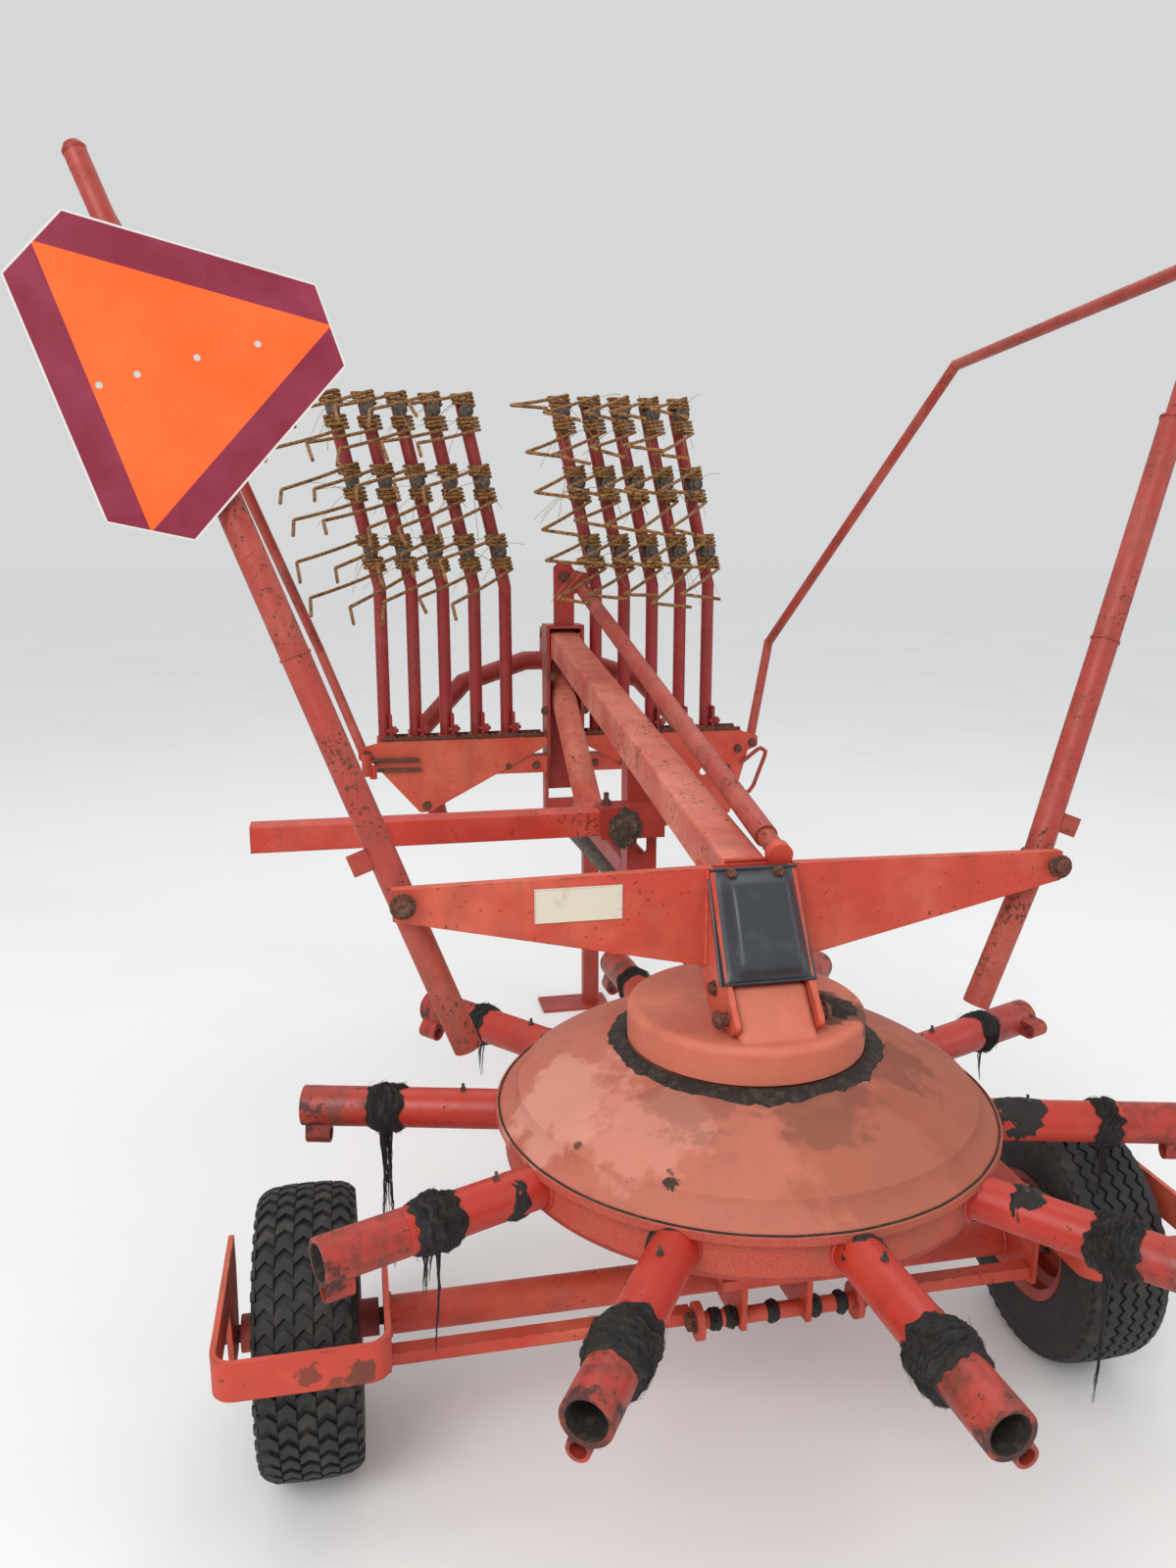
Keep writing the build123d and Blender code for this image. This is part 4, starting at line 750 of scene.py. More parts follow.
@dataclass(frozen=True)
class Wrap:
    """Grease and hair wound round an arm."""

    arm: int  # number of the arm
    start: float  # nearest end from the rotor axis, mm
    end: float  # far end, mm
    thick: float  # thickness, mm
    strands: int = 0  # number of hanging strands, none where the grease covers one side only
    drop: float = 0.0  # longest strand, mm


WRAPS = (
    Wrap(0, 612, 660, 7, 5, 80), Wrap(1, 600, 650, 7, 6, 120), Wrap(2, 590, 640, 6, 3, 60),
    Wrap(3, 600, 645, 7, 4, 90), Wrap(4, 596, 662, 9, 16, 300), Wrap(5, 560, 640, 10, 12, 210),
    Wrap(6, 600, 700, 13, 10, 60), Wrap(7, 602, 690, 13, 16, 30), Wrap(8, 590, 660, 12, 14, 230),
    Wrap(9, 600, 645, 9, 9, 150), Wrap(5, 448, 486, 4), Wrap(7, 422, 452, 5), Wrap(8, 470, 520, 6),
    Wrap(9, 428, 520, 4), Wrap(6, 420, 436, 6), Wrap(3, 430, 470, 3), Wrap(0, 440, 480, 4),
)


class WoundGrease:
    """One lump of grease on its arm, with fibres that stick out and strands that hang."""

    def __init__(self, rotor: Rotor, number: int) -> None:
        """Set the directions of the arm and the source of differences.

        Args:
            rotor: sizes of the rotor.
            number: row of the table of wraps.
        """
        self.rotor, self.number, self.wrap = rotor, number, WRAPS[number]
        self.rng = random.Random(40 + number)
        self.way = rotor.way(self.wrap.arm)
        self.flat = Vector((-self.way.y, self.way.x, 0))
        self.span = self.wrap.end - self.wrap.start

    def out(self, a: float) -> Vector:
        """Direction out of the arm at an angle."""
        return self.flat * math.cos(a) + UP * math.sin(a)

    def skin(self, f: float, a: float) -> Vector:
        """Point on the lumpy skin.

        Args:
            f: share of the length.
            a: angle round the arm.

        Returns:
            The point in metres.
        """
        wrap, out = self.wrap, self.out(a)
        middle = self.rotor.spot(wrap.arm, wrap.start + self.span * f)
        seat = middle * 38 + out * 1.7
        rough = noise.noise(seat) + 0.35 * noise.noise(seat * 2.9)
        wound = noise.noise(Vector((f * self.span * 0.22, a * 0.9, wrap.arm * 3.1 + wrap.start)))
        rise = math.sin(math.pi * min(max(f, 0.0), 1.0)) ** 0.4
        high = wrap.thick * rise * max(0.12, 0.8 + 0.75 * rough + 0.42 * wound) - (1.0 - rise) * 3
        if not wrap.strands:
            high -= wrap.thick * 0.55 * (1 - math.cos(a - 1.4 - self.number))
        skew = self.way * (noise.noise(out * 2.3 + middle * 9) * 14 * MM)
        return middle + skew + out * (self.rotor.arm_r + high) * MM

    def fibres(self, hair: Shape) -> None:
        """Wind fibres that lie in the lump and lift off only at their ends."""
        rng = self.rng
        for k in range(120 + self.wrap.strands * 8):
            f0, drift = rng.uniform(0.06, 0.94), rng.uniform(-0.2, 0.2)
            a0, sweep = rng.uniform(0, 6.28), rng.uniform(0.5, 2.6)
            lift = rng.uniform(-0.4, 2.6) + (rng.uniform(2, 9) if k % 9 == 0 else 0)
            path = []
            for u in (s / 10 for s in range(11)):
                a = a0 + sweep * u
                path.append(self.skin(f0 + drift * u, a) + self.out(a) * (0.2 + lift * u ** 3) * MM)
            thin = rng.uniform(0.3, 0.75)
            hair.tube(path, [thin * (1 - 0.06 * s) for s in range(11)], 4)

    def rope(self, hair: Shape, first: bool) -> None:
        """Hang matted strands down as one rope that thins out.

        Args:
            hair: shape that takes the strands.
            first: it is the longest rope of the lump.
        """
        rng, wrap = self.rng, self.wrap
        root = self.rotor.spot(wrap.arm, wrap.start + self.span * rng.uniform(0.3, 0.7))
        root = root + self.flat * rng.uniform(-14, 14) * MM - UP * (self.rotor.arm_r * 0.75) * MM
        full = wrap.drop * (1.0 if first else rng.uniform(0.35, 0.8))
        wave, lean = rng.uniform(0, 6.28), rng.uniform(-0.12, 0.12)
        for k in range(9 + wrap.strands // 2):
            length = full * (1.0 if k < 3 else rng.uniform(0.15, 1.0))
            side, front, spin = rng.uniform(-9, 9), rng.uniform(-8, 8), rng.uniform(0, 6.28)
            steps = max(5, int(length / 9))
            path = []
            for down in (length * s / steps for s in range(steps + 1)):
                pull = 0.25 + math.exp(-down / 38)
                sway = math.sin(down / 31 + wave) * 3.2 + lean * down
                curl = 2.6 * noise.noise(Vector((down * 0.05, spin, k)))
                spare = 2.6 * noise.noise(Vector((spin, down * 0.05, 2 * k)))
                path.append(root + self.flat * (sway + side * pull + curl) * MM
                            + self.way * (front * pull + spare) * MM - UP * down * MM)
            thick = rng.uniform(0.4, 1.9)
            hair.tube(path, [thick * (1.15 - 0.9 * s / steps) for s in range(steps + 1)], 5)

    def make(self) -> None:
        """Make the lump, and its hair where it has strands."""
        lump, hair = Shape(), Shape()
        lump.rows([[self.skin(i / 40, a) for a in turns(56)] for i in range(41)])
        lump.make(f"grease_wrap_{self.number:02d}", Coat.GREASE, "rotor")
        if self.wrap.strands:
            self.fibres(hair)
            for rope in range(1 + self.wrap.strands // 7):
                self.rope(hair, rope == 0)
            hair.make(f"hair_strands_{self.number:02d}", Coat.GREASE, "rotor")


@dataclass(frozen=True)
class RotorDress:
    """What the years left on the rotor: grease, hair, welds and fittings."""

    rotor: Rotor
    # (radius, height) outline of the grease in an arm's mouth, mm; this dark cup also paints the shade inside
    # the tube
    mouth: Pairs = ((26.8, -1.0), (25.9, -3.0), (25.6, -60.0), (24.0, -74.0), (12.0, -80.0), (0.0, -81.0),
                    (0.0, -84.0), (26.8, -84.0))
    # (radius, height) of the grease ring inside its ragged reach, mm
    ring: Pairs = ((200, -4), (205, 10), (212, 11), (221, 7.5))

    def grease(self) -> None:
        """Wind the grease round the arms, line their mouths with dark grease that also paints the shade
        inside the tubes, and lay the ring round the fixed drum.
        """
        for number in range(len(WRAPS)):
            WoundGrease(self.rotor, number).make()
        # Dark cups in the arm mouths: grease, and painted shade inside the tubes
        lining = Shape()
        for k in range(self.rotor.arms):
            lining.lathe(self.mouth, self.rotor.spot(k, self.rotor.mouth), self.rotor.way(k), 30)
        lining.make("mouth_grease_and_shade", Coat.DRY_GREASE, "rotor", "bare_steel")
        ring, rows = Shape(), []
        for way in map(level_way, turns(144)):
            reach = 239 + 12 * noise.noise(way * 2.4) + 7 * noise.noise(way * 9) + 3 * noise.noise(way * 31)
            row = []
            for r, h in (*self.ring, (reach - 6, 4.2), (reach, 2.0), (reach + 5, -0.8), (215, -8)):
                bump = 1.9 * noise.noise(Vector((way.x * 17, way.y * 17, r * 0.13)))
                row.append(at(way.x * r, way.y * r, self.rotor.top(r) + h + bump))
            rows.append(row)
        ring.rows(rows, closed=True)
        ring.make("grease_ring", Coat.DRY_GREASE, "rotor", "bare_steel")

    def seams(self) -> None:
        """Run the dark seam along the rim of the dome and weld the arms to the skirt."""
        seam, welds, rotor = Shape(), Shape(), self.rotor
        loop = []
        for way in map(level_way, turns(180)):
            r = rotor.rim_r - 5.5 + 0.9 * noise.noise(way * 9)
            loop.append(at(way.x * r, way.y * r, rotor.rim_z))
        seam.tube(loop, 2.0, 6, closed=True)
        seam.make("rim_seam", Coat.DRY_GREASE, "rotor", "bare_steel")
        for way in map(rotor.way, range(rotor.arms)):
            flat = Vector((-way.y, way.x, 0))
            loop = []
            for a in turns(60):
                across, high = math.cos(a) * rotor.bead_r, math.sin(a) * rotor.bead_r
                inwards = math.sqrt(rotor.skirt_r ** 2 - across ** 2)
                loop.append(at(0, 0, rotor.arm_z + high) + way * inwards * MM + flat * across * MM)
            welds.seal(loop, 4.5)
        welds.make("arm_root_welds", Coat.ARM_RED, "rotor")

    def fittings(self) -> None:
        """Set the grease nipples of the arms, the bolts of the drum and the grease between them."""
        nipples, bolts, patch = Shape(), Shape(), Shape()
        for k in range(self.rotor.arms):
            foot = self.rotor.spot(k, self.rotor.nipple) + mm(0, 0, self.rotor.arm_r - 0.5)
            nipples.bolt(foot, UP, 10, 5, False)
            nipples.lathe([(0, 0), (2.6, 0), (3.0, 7), (1.8, 8.5), (0, 8.5)], foot + mm(0, 0, 5), UP, 10)
        nipples.make("grease_nipples", Coat.STEEL, "rotor", "bare_steel")
        for x, y in ((112, -62), (128, -18)):
            bolts.bolt(at(x, y, 744), UP, 19, 9)
        bolts.make("drum_bolts", Coat.RUST)
        rows = []
        for f in (i / 8 for i in range(9)):
            row = []
            for way in map(level_way, turns(26)):
                r = (52 + 12 * noise.noise(way * 2.1) + 5 * noise.noise(way * 6)) * f
                rise = 3.4 * (1 - f ** 2) + 1.2 * noise.noise(Vector((r * way.x * 0.1, r * way.y * 0.1, 3)))
                row.append(at(140 + way.x * r * 0.7, -58 + way.y * r, 743.6 + max(rise, 0.1)))
            rows.append(row)
        patch.rows(rows)
        patch.make("drum_grease_patch", Coat.DRY_GREASE)


@dataclass(frozen=True)
class WheelSize:
    """Sizes of one wheel, mm."""

    side: str
    x: float
    tread: Tread  # pattern of the tyre
    radius: float = 228.5  # outer radius with tread
    width: float = 165.0
    seat_r: float = 105.0  # radius of the bead
    y: float = -8.0
    depth: float = 8.0  # depth of the tread

    def point(self, r: float, turn: float, across: float) -> Vector:
        """Point at a radius, a turn about the axle in radians and a place across the tyre."""
        return at(self.x + across, self.y + r * math.sin(turn), self.radius + r * math.cos(turn))


@dataclass(frozen=True)
class Tyre:
    """Tyre with its side walls, tread blocks and scuffed edges."""

    size: WheelSize
    # bead, belly and rings of a side wall, as height over the seat and depth under the width, mm
    wall: Pairs = ((0, 26), (6, 20), (12, 16.5), (15, 11.5), (18, 11.5), (22, 9), (34, 4.5), (48, 1.2),
                   (60, 0.6), (72, 2.2), (76, 1.0), (80, 1.2), (84, 3.5))

    def surface(self, across: float) -> float:
        """Radius of the carcass under the tread, with its round shoulders.

        Args:
            across: distance from the middle plane, mm.

        Returns:
            The radius in mm.
        """
        x = abs(across)
        crown = self.size.radius - self.size.depth - 0.00085 * x * x
        shoulder = max(0.0, (x - (self.size.width / 2 - 26)) / 26)
        return crown - 15 * shoulder ** 2.2

    def carcass(self, shape: Shape) -> None:
        """Turn the casing from its half profile, mirrored about the middle plane."""
        s = self.size
        half = s.width / 2
        profile = [(s.seat_r + rise, half - depth) for rise, depth in self.wall]
        profile += [(self.surface(x), x) for x in (half - 6, half - 12, half - 20, half - 30, 36, 20, 0)]
        profile += [(r, -x) for r, x in reversed(profile[:-1])]
        shape.rows([[s.point(r, turn, x) for r, x in profile] for turn in turns(96)], closed=True)

    def block(self, shape: Shape, outline: list[tuple[float, float]], skew: float) -> None:
        """Raise one tread block.

        Args:
            shape: shape that takes the block.
            outline: (across, arc length) of its corners, mm, arc length counted from the top.
            skew: wear of the block's top, mm.
        """
        s, n = self.size, len(outline)
        middle = [sum(p[i] for p in outline) / n for i in (0, 1)]
        low, mid, top = [], [], []
        for x, arc in outline:
            base = self.surface(x)
            low.append(s.point(base - 1.5, arc / s.radius, x))
            mid.append(s.point(base + s.depth - 1.6, arc / s.radius, x))
            inner_x = x + (middle[0] - x) * 0.08
            inner_arc = arc + (middle[1] - arc) * 0.08
            top.append(s.point(self.surface(inner_x) + s.depth - 0.3 - skew, inner_arc / s.radius, inner_x))
        faces = [tuple(range(2 * n, 3 * n))]
        for i in range(n):
            j = (i + 1) % n
            faces += [(i, j, n + j, n + i), (n + i, n + j, 2 * n + j, 2 * n + i)]
        shape.add(low + mid + top, faces)

    def chevrons(self, shape: Shape) -> None:
        """Raise the columns of turf chevrons, each half a step on from the next, and the shoulder lugs."""
        rows = 40
        step = 2 * math.pi * self.size.radius / rows
        h, t, w = step * 0.30, step * 0.34, 27 / 2
        rng = random.Random(5)
        for k in range(rows):
            for c, x in enumerate((-58, -29, 0, 29, 58)):
                arc = (k + 0.5 * (c % 2)) * step
                outline = ((x - w, arc - h), (x, arc - h + t), (x + w, arc - h), (x + w, arc + h * 0.95),
                           (x, arc + h * 0.95 + t), (x - w, arc + h * 0.95))
                self.block(shape, [(px, pa - t / 2) for px, pa in outline], rng.uniform(0, 1.3))
            for side in (-1, 1):
                arc = (k + 0.5) * step
                lug = ((73, -0.28), (80.5, -0.2), (80.5, 0.2), (73, 0.28))
                self.block(shape, [(side * x, arc + step * f) for x, f in lug][::side], 0.6)

    def zigzags(self, shape: Shape) -> None:
        """Raise the zigzag ribs of the road tyre."""
        s = self.size
        ribs = ((-62, 21, 3), (-37, 19, 5), (-12, 19, 5), (13, 19, 5), (38, 19, 5), (63, 21, 3))
        for x, wide, swing in ribs:
            rows = []
            for k, turn in enumerate(turns(112)):
                off = swing if k % 2 else -swing
                a, b = x - wide / 2 + off, x + wide / 2 + off
                rib = ((a, -1.5), (a, s.depth - 1.4), (a + 1.4, s.depth - 0.3), (b - 1.4, s.depth - 0.3),
                       (b, s.depth - 1.4), (b, -1.5))
                rows.append([s.point(self.surface(px) + lift, turn, px) for px, lift in rib])
            shape.rows(rows, closed=True)

    def make(self) -> None:
        """Build the tyre and let it stand for its CAD node."""
        shape, side = Shape(), self.size.side
        self.carcass(shape)
        (self.chevrons if self.size.tread is Tread.CHEVRON else self.zigzags)(shape)
        obj = shape.make("tread_tyre_" + side, Coat.RUBBER, "wheel_" + side, angle=30)
        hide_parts("tyre_" + side)


@dataclass(frozen=True)
class Hub:
    """Nuts and valve on a wheel rim, and the nut on the axle's end."""

    size: WheelSize
    nut_r: float = 52.0  # radius of the ring of nuts, mm
    valve_r: float = 84.0  # radius at which the valve stands, mm
    pin_end: float = 142.5  # end of the axle pin from the middle of the wheel, mm

    def make(self) -> None:
        """Set the wheel nuts on both faces of the disc, the valve and the axle nut."""
        s = self.size
        out = -1 if s.side == "left" else 1
        nuts, valve, end = Shape(), Shape(), Shape()
        for way in (out, -out):
            for a in turns(5):
                nuts.bolt(s.point(self.nut_r, a + 0.3, way * 10.5), RIGHT * way, 17, 9)
        nuts.make("wheel_nuts_" + s.side, Coat.RUST, "wheel_" + s.side)
        valve.lathe([(0, 0), (4.6, 0), (3.6, 16), (2.8, 30), (0, 30)], s.point(self.valve_r, 2.2, out * 30),
                    Vector((out, -0.1, 0.1)), 12)
        valve.make("valve_" + s.side, Coat.RUBBER, "wheel_" + s.side)
        end.bolt(s.point(0, 0, out * self.pin_end), RIGHT * out, 30, 14)
        end.make("axle_end_nut_" + s.side, Coat.RUST)


@dataclass(frozen=True)
class TineSize:
    """Sizes of the stored arms and their coil tines, mm."""

    arm_y: float = 1746.0  # plane of the arms
    arm_r: float = 19.0  # radius of an arm
    bend_z: float = 1375.0  # height above which the arms lean
    lean_deg: float = 12.8  # lean to the left
    sets: tuple[float, ...] = (1478.0, 1675.0, 1872.0)  # heights of the tine clamps
    coil_off: float = 34.3  # axis of a coil behind the arm's face
    coil_r: float = 29.0  # radius of a coil
    wire_r: float = 4.75  # radius of the wire
    turns: int = 3  # turns of a coil
    leave_deg: float = -32.0  # angle at which the leg leaves the coil
    coil_len: float = 35.0  # length of a coil
    gap: float = 15.0  # start of a coil above or below its clamp
    leg: Point = (-200.0, -312.0, -74.0)  # run of a leg
    left_tip: Point = (4.0, -104.0, -42.0)  # run of the hook on the left side
    right_tip: Point = (108.0, 10.0, -14.0)  # run of the hook on the right side
    left: tuple[float, ...] = (-548.0, -455.0, -363.0, -270.0, -177.0)  # feet of the left arms
    right: tuple[float, ...] = (103.0, 192.0, 281.0, 371.0, 460.0)  # feet of the right arms

    def arm_x(self, x: float, z: float) -> float:
        """Place of a leaning arm at a height."""
        return x - (z - self.bend_z) * math.tan(math.radians(self.lean_deg))


class CoilTines:
    """Wound spring tines on one side, with their clamps, feet and caught hay."""

    def __init__(self, size: TineSize, side: str) -> None:
        """Keep the sizes and the side, and start the source of differences."""
        self.size, self.side = size, side
        left = side == "left"
        self.feet_x, self.hook = (size.left, size.left_tip) if left else (size.right, size.right_tip)
        self.rng = random.Random(11 if left else 12)

    def near(self, step: Point, reach: float) -> Vector:
        """Step in metres that is off by up to reach mm on each axis."""
        return Vector([c + self.rng.uniform(-reach, reach) for c in step]) * MM

    def coil(self, shape: Shape, x: float, z: float, up: int) -> None:
        """Wind one coil with its leg.

        Args:
            shape: shape that takes the wire.
            x: middle of the clamp.
            z: height of the clamp.
            up: 1 for the coil above the clamp, -1 below.
        """
        s = self.size
        y = s.arm_y - s.arm_r - s.coil_off
        lean = math.tan(math.radians(s.lean_deg))
        # The wire winds clockwise from the clamp and leaves on the right at the rear
        sweep = math.radians(90.0 - s.leave_deg + 360.0 * s.turns)
        steps = 20 * s.turns
        path = []
        for k in range(steps + 1):
            f = k / steps
            a = math.pi * 0.5 - sweep * f
            h = up * (s.gap + s.coil_len * f)
            r = s.coil_r + 0.8 * math.sin(k * 0.7 + x)
            path.append(at(x - h * lean + math.cos(a) * r, y + math.sin(a) * r, z + h))
        end = path[-1]
        knee = end + self.near(s.leg, 14)
        path += [end.lerp(knee, k / 12) + mm(0, 0, -3.0 * math.sin(math.pi * k / 12)) for k in range(1, 13)]
        tip = knee + self.near(self.hook, 12)
        path[-1] = path[-1].lerp(path[-2], 0.12)
        path += [knee.lerp(tip, f) for f in (0.05, 0.16, 0.6, 1.0)]
        shape.tube(path, s.wire_r, 7)

    def stalk(self, x: float, y: float, z: float) -> list[Vector]:
        """Path of one caught hay stalk that starts near a clamp.

        Args:
            x: place to the right.
            y: face of the arm.
            z: height of the clamp.

        Returns:
            The path.
        """
        rng = self.rng
        start = at(x + rng.uniform(-30, 20), y - 40 + rng.uniform(-30, 20), z + rng.uniform(-45, 45))
        drop = rng.uniform(30, 150)
        way = Vector((rng.uniform(-1, 0.6), rng.uniform(-0.4, 0.2), rng.uniform(-0.9, 0.25))).normalized()
        return [start + way * drop * f * MM - mm(0, 0, 26 * f * f) for f in (0, 0.25, 0.5, 0.75, 1)]

    def make(self) -> None:
        """Build the tines of one side, their clamps and the hay between them."""
        s = self.size
        wires, clamps, hay = Shape(), Shape(), Shape()
        y = s.arm_y - s.arm_r
        lean = math.radians(s.lean_deg)
        arm_way = Vector((-math.sin(lean), 0, math.cos(lean)))
        arm_side = Vector((math.cos(lean), 0, math.sin(lean)))
        for base in self.feet_x:
            for z in s.sets:
                x = s.arm_x(base, z)
                for up in (-1, 1):
                    self.coil(wires, x, z, up)
                clamps.block(at(x, y - 9, z), arm_side * 15 * MM, arm_way * 17 * MM, mm(0, 9))
                clamps.lathe([(0, 0), (21, 0), (20, 4), (14, 6), (0, 6)], at(x, y - 62, z), REAR, 22)
                clamps.tube([at(x, y - 18, z), at(x, y - 62, z)], 8, 10)
                clamps.bolt(at(x, y - 68, z), REAR, 22, 9, False)
                for _ in range(5):
                    path = self.stalk(x, y, z)
                    hay.tube(path, self.rng.uniform(0.5, 1.0), 4)
        obj = wires.make("wound_tines_" + self.side, Coat.WIRE, angle=60)
        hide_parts("coil_tines_" + self.side)
        clamps.make("tine_clamps_" + self.side, Coat.STEEL, bevel_mm=1.0)
        hay.make("caught_hay_" + self.side, Coat.HAY)

    def feet(self) -> None:
        """Set the forged foot with its ears and pin at each stored arm."""
        feet, y = Shape(), self.size.arm_y
        for x in self.feet_x:
            feet.box((x + 17, y - 20, 962), (5, 14, 36))
            feet.disc(at(x + 22, y - 30, 952), RIGHT, 13, 12, 14)
            feet.tube([at(x + 4, y - 30, 952), at(x + 40, y - 30, 952)], 6, 8)
        feet.make("tine_arm_feet_" + self.side, Coat.TINE_ARM_RED, bevel_mm=1.2)


# Direction, width over the flats, height and feet of the bolts on the frame, mm
FRAME_BOLTS = (
    ((0, -0.85, 0.52), 15, 7, ((-42, -31, 979), (40, -31, 979))),
    ((-1, 0, 0), 19, 9, ((-75, -60, 795),)),
    ((1, 0, 0), 19, 9, ((75, -60, 795),)),
    (REAR, 19, 9, ((-41, 1690, 1106), (41, 1690, 1100), (-62, 1710, 1000), (62, 1710, 1000), (556, 1700, 862),
                   (520, 1700, 800), (604, 1700, 880), (-604, 1700, 884), (-430, 1700, 720))),
    (REAR, 24, 12, ((0, 1720, 1404),)),
    (REAR, 17, 8, ((-92, 1708, 832), (92, 1708, 832), (-180, 1708, 834), (180, 1708, 834))),
    (REAR, 14, 7, ((-21, 735, 760), (21, 735, 760), (-21, 735, 1020), (21, 735, 1020))),
)


@dataclass(frozen=True)
class HeadDress:
    """Cover, welds, plate and bolts at the head of the beam."""

    low: Point = (0, -118, 822)  # middle of the cover's lower edge, mm
    top: Point = (0, -18, 985)  # middle of its upper edge, mm
    half: float = 78.6  # half width at the lower edge, mm
    taper: float = 5.0  # loss of half width towards the top, mm
    flat: float = 0.93  # share of the half width where the rim starts to turn down
    panel: float = 21.0  # height of the raised panel, mm
    plate: Point = (-294, -13, 939)  # middle of the blank plate, mm
    plate_half: tuple[float, float] = (73, 29)  # half length and half height of the plate, mm

    def lift(self, u: float, f: float) -> float:
        """Height of the cover over its plane: a raised panel with sloping flanks inside a flat rim.

        Args:
            u: place across from -1 to 1.
            f: place along from 0 to 1.

        Returns:
            The height in mm.
        """
        if abs(u) > self.flat:
            return -2 - 9 * (abs(u) - self.flat) / 0.07
        flank = min(1.0, max(0.0, (0.90 - abs(u)) / 0.30))
        foot = min(1.0, f / 0.13, (1 - f) / 0.2)
        panel = (flank * flank * (3 - 2 * flank)) * max(0.0, foot * foot * (3 - 2 * foot))
        return 1.2 + panel * (self.panel + 5.0 * math.sin(math.pi * f) - 2.5 * u * u)

    def cover(self) -> None:
        """Mould the bulged cover with its rolled rim over the fork."""
        low, top = Vector(self.low), Vector(self.top)
        run = (top - low).normalized()
        out = Vector((0, -run.z, run.y))
        length = (top - low).length

        def spot(x: float, f: float, high: float) -> Vector:
            """Point at a place across, a share of the length and a height over the plane."""
            p = low + run * length * f + out * high
            return at(x, p.y, p.z)

        shape, rim, rows = Shape(), Shape(), []
        for f in (i / 32 for i in range(33)):
            row = []
            for u in (-1 + 2 * j / 40 for j in range(41)):
                x = (self.half - self.taper * f) * u * (1.02 if abs(u) > self.flat else 1.0)
                row.append(spot(x, f, self.lift(u, f)))
            rows.append(row)
        shape.rows(rows, ring=False)
        obj = shape.make("moulded_cover", Coat.COVER, angle=50)
        thick = obj.modifiers.new("sheet", "SOLIDIFY")
        thick.thickness = 2.6 * MM
        thick.offset = -1.0
        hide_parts("head_cover")
        for u in (-1, 1):
            rim.tube([spot(u * (80.4 - self.taper * i / 24), i / 24, -9.5) for i in range(25)], 3.0, 8)
        for f in (0.004, 0.996):
            rim.tube([spot(x, f, 1.5) for x in range(-76, 77, 8)], 2.8, 8)
        rim.make("cover_rim", Coat.COVER)

    def welds(self) -> None:
        """Lay the beads at the wing roots, the beam's foot and the mast."""
        weld = Shape()
        for side in (-1, 1):
            for x, y, z0, z1, size, seed in ((76.5, -13, 818, 984, 4.5, 3), (41, 19, 915, 984, 4, 7),
                                             (41, 1701, 1158, 1236, 4, 9)):
                weld.bead([at(side * x, y, z0), at(side * x, y, z1)], size, side + seed)
        weld.bead([at(-38, 18, 989), at(38, 18, 989)], 4, 21)
        weld.make("frame_welds", Coat.FRAME_RED)

    def badge(self) -> None:
        """Rivet the blank plate with its folded rim to the left wing."""
        shape, rim = Shape(), Shape()
        x, y, z = self.plate
        wide, high = self.plate_half
        shape.box(self.plate, (wide, 0.8, high))
        shape.make("blank_plate", Coat.PLATE, bevel_mm=0.6)
        corners = ((-1, -1), (1, -1), (1, 1), (-1, 1))
        rim.tube([at(x + i * (wide - 1), y - 1, z + j * (high - 1)) for i, j in corners], 1.1, 6, closed=True)
        rim.make("plate_rim", Coat.PLATE)

    def bolts(self) -> None:
        """Set the bolts of the head, the wings, the mast and the racks, and the fork's two pivots."""
        rusty = Shape()
        for way, across, height, feet in FRAME_BOLTS:
            for foot in feet:
                rusty.bolt(at(*foot), Vector(way), across, height)
        for side in (-1, 1):
            foot = at(side * 89, -130, 770)
            rusty.lathe([(0, 0), (15, 0), (15, 4), (11, 9), (0, 9)], foot, RIGHT * side, 20)
        rusty.make("frame_bolts", Coat.RUST)


@dataclass(frozen=True)
class GuardSize:
    """Places of one guard's hinge, mm."""

    side: str
    sign: int  # -1 on the left, 1 on the right
    rear_x: float  # rear end of the hinge axis
    front_x: float  # front end of the hinge axis
    rear_z: float = 957.0  # height of the rear end
    front_y: float = 1660.0  # place of the front end
    front_z: float = 880.0  # height of the front end
    lean_deg: float = 20.8  # outward lean of the folded guard
    # (along, up) below and above each seam of the thick tube
    seams: tuple = (((99, 405), (101, 421)), ((159, 832), (161, 848)))
    # (along, up) of the thick tube's end, and of a lower point of its axis
    crown: tuple = ((213, 1230), (160, 840))

    def axes(self) -> tuple[Vector, Vector, Vector]:
        """Axes of the folded plane.

        Returns:
            Its foot in mm from the rotor axis, and the directions along and up.
        """
        rear = Vector((self.sign * self.rear_x, 0, self.rear_z))
        along = (Vector((self.sign * self.front_x, self.front_y, self.front_z)) - rear).normalized()
        lean = math.radians(self.lean_deg)
        up = Vector((self.sign * math.sin(lean), 0, math.cos(lean)))
        return rear, along, (up - along * up.dot(along)).normalized()

    def point(self, along: float, up: float) -> Vector:
        """Point of the folded plane in the frame."""
        rear, a, u = self.axes()
        return at(*(rear + a * along + u * up))


